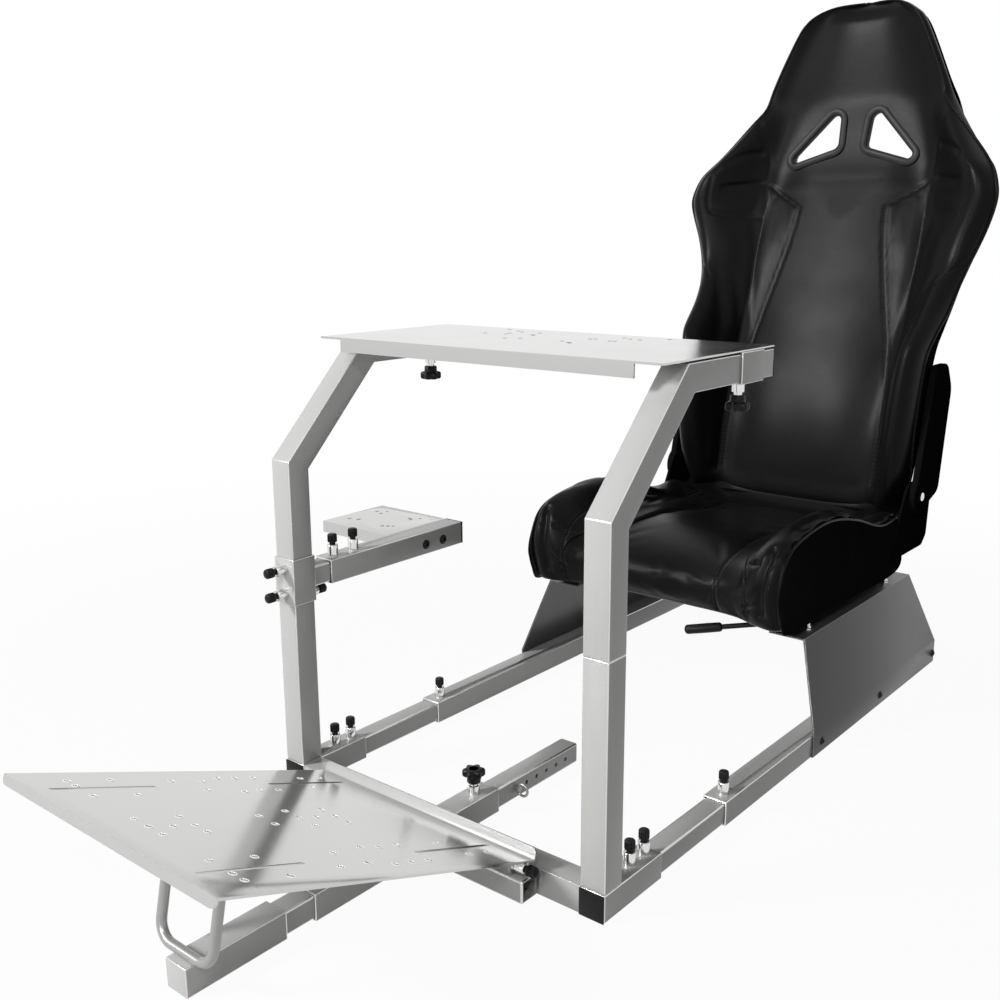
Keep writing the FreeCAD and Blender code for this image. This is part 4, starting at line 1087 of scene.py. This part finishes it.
def stuffed(name, mesh, seams, pinned, pressure, slack, reach):
    """The cover swelled by its filling between its sewn lines, as cloth.

    pinned tells which points stay, and reach how far each of the others may move.
    """
    obj = link(bpy.data.objects.new(name, mesh))
    lines = point_tree(seams)
    held = [v.index for v in mesh.vertices if pinned(v) or lines.find(v.co)[2] < SEW_REACH]
    obj.vertex_groups.new(name="sewn").add(held, 1.0, "REPLACE")
    cloth = obj.modifiers.new("stuffing", "CLOTH")
    cloth.settings.vertex_group_mass = "sewn"
    cloth.settings.use_pressure = True
    cloth.settings.uniform_pressure_force = pressure
    cloth.settings.effector_weights.gravity = 0
    cloth.settings.shrink_min = -slack
    cloth.collision_settings.use_collision = False
    scene = bpy.context.scene
    for step in range(1, CLOTH_STEPS + 1):
        scene.frame_set(step)
    swelled = evaluated(obj)
    for vertex, start in zip(swelled.vertices, mesh.vertices):
        move = vertex.co - start.co
        if move.length > reach(start):
            vertex.co = start.co + move.normalized() * reach(start)
    bpy.data.objects.remove(obj)
    scene.frame_set(1)
    return swelled


def grooved(mesh, paths, depth, width):
    """Presses narrow channels into a mesh along paths that lie on it."""
    lines = point_tree(paths)
    normals = [vertex.normal.copy() for vertex in mesh.vertices]
    for vertex, normal in zip(mesh.vertices, normals):
        gap = lines.find(vertex.co)[2]
        if gap < 3 * width:
            vertex.co -= normal * depth * math.exp(-(gap / width) ** 2)


def stitching(name, body, surface, paths):
    """Rows of short stitches beside sewn lines."""
    bm = bmesh.new()
    stitch = [(0, STITCH_END_R), (0.2 * STITCH_LENGTH, STITCH_R), (0.8 * STITCH_LENGTH, STITCH_R),
              (STITCH_LENGTH, STITCH_END_R)]
    for path in paths:
        for offset in STITCH_OFFSETS:
            travelled = 0.0
            for a, b in zip(path, path[1:]):
                travelled += (b - a).length
                if travelled < STITCH_PITCH:
                    continue
                travelled = 0.0
                _, normal, _, _ = surface.find_nearest(b)
                way = (b - a).normalized()
                place, normal, _, _ = surface.find_nearest(b + way.cross(normal) * offset)
                lathe(bm, stitch, place - way * STITCH_LENGTH / 2 + normal * STITCH_LIFT, way, 6)
    piece(name, bm, body, STITCH_THREAD)


# Back

def back_ring(row):
    """Points round the back at one height: winged below, and dished from rim to rim in the headrest."""
    z, f, v, g, o, s, b, r = row
    dish = min(1.0, max(0.0, (z - DISH_START) / (DISH_FULL - DISH_START)))
    edge = min(WING_EDGE + dish * (RIM_EDGE - WING_EDGE), (o - v) / 3)
    rim = o - edge
    wing = [(0.55 * v, f), (v, f + 3), (0.45 * v + 0.55 * rim, 0.45 * f + 0.55 * g - 0.06 * (f - g))]
    bowl = [(x * rim, f - y * (f - g)) for x, y in ((0.36, 0.08), (0.66, 0.36), (0.86, 0.7))]
    front = [(x + dish * (p - x), y + dish * (q - y)) for (x, y), (p, q) in zip(wing, bowl)]
    side = [(rim, g), (o, g + min(2 * edge, 0.6 * (s - g))), (o - min(10, 0.3 * o), s)]
    half = [(0, f)] + front + side + [(b, r - 8), (0.55 * b, r), (0, r)]
    full = half + [(-x, y) for x, y in half[-2:0:-1]]
    return [pivot + Vector((x, y, z)) * MM for x, y in full]


def back_held(vertex):
    """Tells the points that keep their place: at the back, at the foot and in the headrest."""
    return vertex.normal.y > BACK_FACING or not 0 < vertex.co.z - pivot.z < HEAD_SEWN


def back_reach(vertex):
    """How far the back may swell: less and less towards the headrest."""
    return BACK_SWELL * min(1.0, max(0.0, (HEAD_SEWN - (vertex.co.z - pivot.z)) / HEAD_FADE))


back_rings = [back_ring(row) for row in BACK_ROWS]
back_mesh = smooth_skin("back", back_rings, 3, BACK_MARKS)
ring_count = len(back_rings[0])
rim_points = []
for k, row in enumerate(BACK_ROWS[1:], 1):
    column = RIM if row[0] > PIPED_RIM else RIM_SIDE
    rim_points.append(back_mesh.vertices[k * ring_count + column].co.copy())
rim_path = smooth_path(rim_points + mirrored_path(rim_points)[::-1], RIM_POINTS)
surface = surface_of(back_mesh)
back_seams, folds = [], []
for seam, count in BACK_SEAMS:
    back_seams += both_sides(surface, seam, count)
for fold in SHOULDER_FOLDS:
    folds += both_sides(surface, fold, FOLD_POINTS)
back_mesh = stuffed("back", back_mesh, back_seams + [rim_path], back_held, BACK_PRESSURE, 0.0, back_reach)
back_mesh = subdivided("back", back_mesh, 1)
surface = surface_of(back_mesh)
back_seams = [laid_on(surface, path) for path in back_seams]
grooved(back_mesh, back_seams, SEAM_DEPTH, SEAM_WIDTH)
grooved(back_mesh, [laid_on(surface, path) for path in folds], FOLD_DEPTH, FOLD_WIDTH)
surface = surface_of(back_mesh)
rim_path = laid_on(surface, rim_path, PIPING_LIFT)
piece("back_piping", swept("back_piping", rim_path, PIPING_R), "backrest", SEAT_LEATHER)
stitching("back_stitches", "backrest", surface, back_seams[:2])

# Harness openings with their rings
opening = rounded_outline([pivot + Vector((x, 0, z)) * MM for x, z in HARNESS_CORNERS],
                          [radius * MM for radius in HARNESS_RADII], 8)
bezels, cutters = bmesh.new(), bmesh.new()
for side in SIDES:
    loops, start, near, far = [], [], [], []
    for place, way in opening:
        edge = place + way * RING_WIDTH
        front = front_hit(surface, side * edge.x, edge.z).y
        loop = []
        for share, proud in RING_SECTION:
            point = place + way * (share * RING_WIDTH)
            loop.append(Vector((side * point.x, front - proud * MM, point.z)))
        loops.append(loop)
        hole, flare = place + way * HARNESS_CLEAR, place + way * HARNESS_FLARE
        start.append(Vector((side * hole.x, pivot.y, hole.z)))
        near.append(Vector((side * hole.x, front + HARNESS_NEAR, hole.z)))
        far.append(Vector((side * flare.x, front + HARNESS_FAR, flare.z)))
    loops_to_faces(bezels, loops, True)
    loops_to_faces(cutters, [start, near, far])
for bm in (bezels, cutters):
    face_out(bm)
stand_in("harness_bezels", bezels, BEZEL_PLASTIC)
back_cover = link(bpy.data.objects.new("back_uncut", back_mesh))
for finish in (SEAT_LEATHER, SIDE_VINYL, SEAT_VINYL):
    back_mesh.materials.append(finish)
back_mesh = cut(back_cover, mesh_of("harness_cutters", cutters))
back_cover = piece("back_cover", back_mesh, "backrest", SEAT_LEATHER, 60,
                   (SIDE_VINYL, SEAT_VINYL))
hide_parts("backrest_pad", "backrest_wing_left", "backrest_wing_right", "headrest_pad")


def shell_ring(row):
    """Points round the hard shell behind the back at one height."""
    z, b, r = row[0], row[6], row[7]
    ring = [(8 - b, r - 10), (0, r - 10), (b - 8, r - 10), (b - 4, r), (b - 22, r + 10), (0, r + 12),
            (22 - b, r + 10), (4 - b, r)]
    return [pivot + Vector((x, y, z)) * MM for x, y in ring]


shell_mesh = smooth_skin("shell", [shell_ring(row) for row in BACK_ROWS if row[0] < SHELL_TOP], 2)
stand_in("backrest_shell", shell_mesh, SEAT_VINYL, 60)


# Cushion

def cushion_ring(column, side):
    """Points round the cushion at one half width, from under its nose over its crest to its rear."""
    x, front, crest, tail, rear = column
    loop = [(front + 60, 0), (front + 16, 0.10 * crest), (front, 0.42 * crest), (front + 14, 0.72 * crest),
            (front + 58, 0.92 * crest), (0.3 * rear, crest), (0.56 * rear, 0.62 * crest + 0.38 * tail),
            (0.8 * rear, tail), (rear - 12, tail), (rear, 0.55 * tail), (rear - 10, 0), (0.5 * rear, 0)]
    return [Vector((side * x, CUSHION_FRONT_Y + a, CUSHION_FLOOR_Z + b)) * MM for a, b in loop]


def cushion_line(column, side):
    """A line over the cushion from under its nose towards its rear, at a column."""
    ring = len(CUSHION_COLUMNS) - 1 + side * column
    points = [cushion_mesh.vertices[ring * loop_count + k].co.copy() for k in COLUMN_TOP]
    return smooth_path(points, COLUMN_POINTS)


def cushion_held(vertex):
    """Tells the points that keep their place: along the floor and at the rear."""
    return vertex.co.z < CUSHION_FLOOR_Z * MM + CUSHION_HEM or vertex.normal.y > TAIL_FACING


def pleated(line):
    return both_sides(cushion_surface, line, PLEAT_POINTS, CUSHION_FLOOR_Z)


cushion_rings = [cushion_ring(column, -1) for column in CUSHION_COLUMNS[:0:-1]]
cushion_rings += [cushion_ring(column, 1) for column in CUSHION_COLUMNS]
cushion_mesh = smooth_skin("cushion", cushion_rings, 3)
loop_count = len(cushion_rings[0])
cushion_seams = [cushion_line(column, side) for column in SEAM_COLUMNS for side in SIDES]
cushion_piping = [cushion_line(PIPING_COLUMN, side) for side in SIDES]
cushion_mesh = stuffed("cushion", cushion_mesh, cushion_seams + cushion_piping, cushion_held,
                       CUSHION_PRESSURE, CUSHION_SLACK, lambda vertex: CUSHION_SWELL)
cushion_mesh = subdivided("cushion", cushion_mesh, 1)
cushion_surface = surface_of(cushion_mesh)
cushion_seams = [laid_on(cushion_surface, path) for path in cushion_seams]
grooved(cushion_mesh, cushion_seams, SEAM_DEPTH, SEAM_WIDTH)
grooved(cushion_mesh, pleated(PLEAT_CREASE), CREASE_DEPTH, CREASE_WIDTH)
for fold in PLEAT_FOLDS:
    grooved(cushion_mesh, pleated(fold), FOLD_DEPTH, PLEAT_FOLD_WIDTH)
cushion_surface = surface_of(cushion_mesh)
for path, name in zip(cushion_piping, ("right", "left")):
    piping = swept("bolster_piping", laid_on(cushion_surface, path, PIPING_LIFT), PIPING_R)
    piece("bolster_piping_" + name, piping, "seat_base", SEAT_LEATHER)
for path, name in zip(pleated(PLEAT_HEM), ("left", "right")):
    hem = swept("pleat_hem", laid_on(cushion_surface, path, -HEM_SINK), HEM_R, resolution=5, tapered=True)
    piece("pleat_hem_" + name, hem, "seat_base", SEAT_LEATHER, 60)
stitching("cushion_stitches", "seat_base", cushion_surface, cushion_seams)
for face in cushion_mesh.polygons:
    face.material_index = int(face.normal.x * math.copysign(1, face.center.x) > SIDE_FACING)
cushion = piece("cushion", cushion_mesh, "seat_base", SEAT_LEATHER, 60, (SIDE_VINYL,))
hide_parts("cushion_pad", "cushion_bolster_left", "cushion_bolster_right")

# Leather gusset that closes the crease between the cushion and the back
gusset_loops = []
for k in range(2 * GUSSET_STEPS + 1):
    x = GUSSET_HALF * (k / GUSSET_STEPS - 1)
    share = min(1.0, max(0.0, (abs(x) - GUSSET_TURN) / GUSSET_STRETCH))
    line = [Vector((x, *m)).lerp(Vector((x, *e)), share) for m, e in zip(GUSSET_MIDDLE, GUSSET_SIDE)]
    top = [pivot + point * MM for point in line]
    under = [point + GUSSET_BACKING for point in top]
    gusset_loops.append(smooth_path(top, GUSSET_POINTS) + smooth_path(under, GUSSET_POINTS)[::-1])
gusset = bmesh.new()
loops_to_faces(gusset, gusset_loops)
face_out(gusset)
crease = link(bpy.data.objects.new("seat_crease", mesh_of("seat_crease", gusset)))
crease.data.materials.append(SEAT_LEATHER)
crease.data.polygons.foreach_set("use_smooth", [True] * len(crease.data.polygons))
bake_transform(crease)

bpy.context.scene.view_settings.view_transform = "Standard"
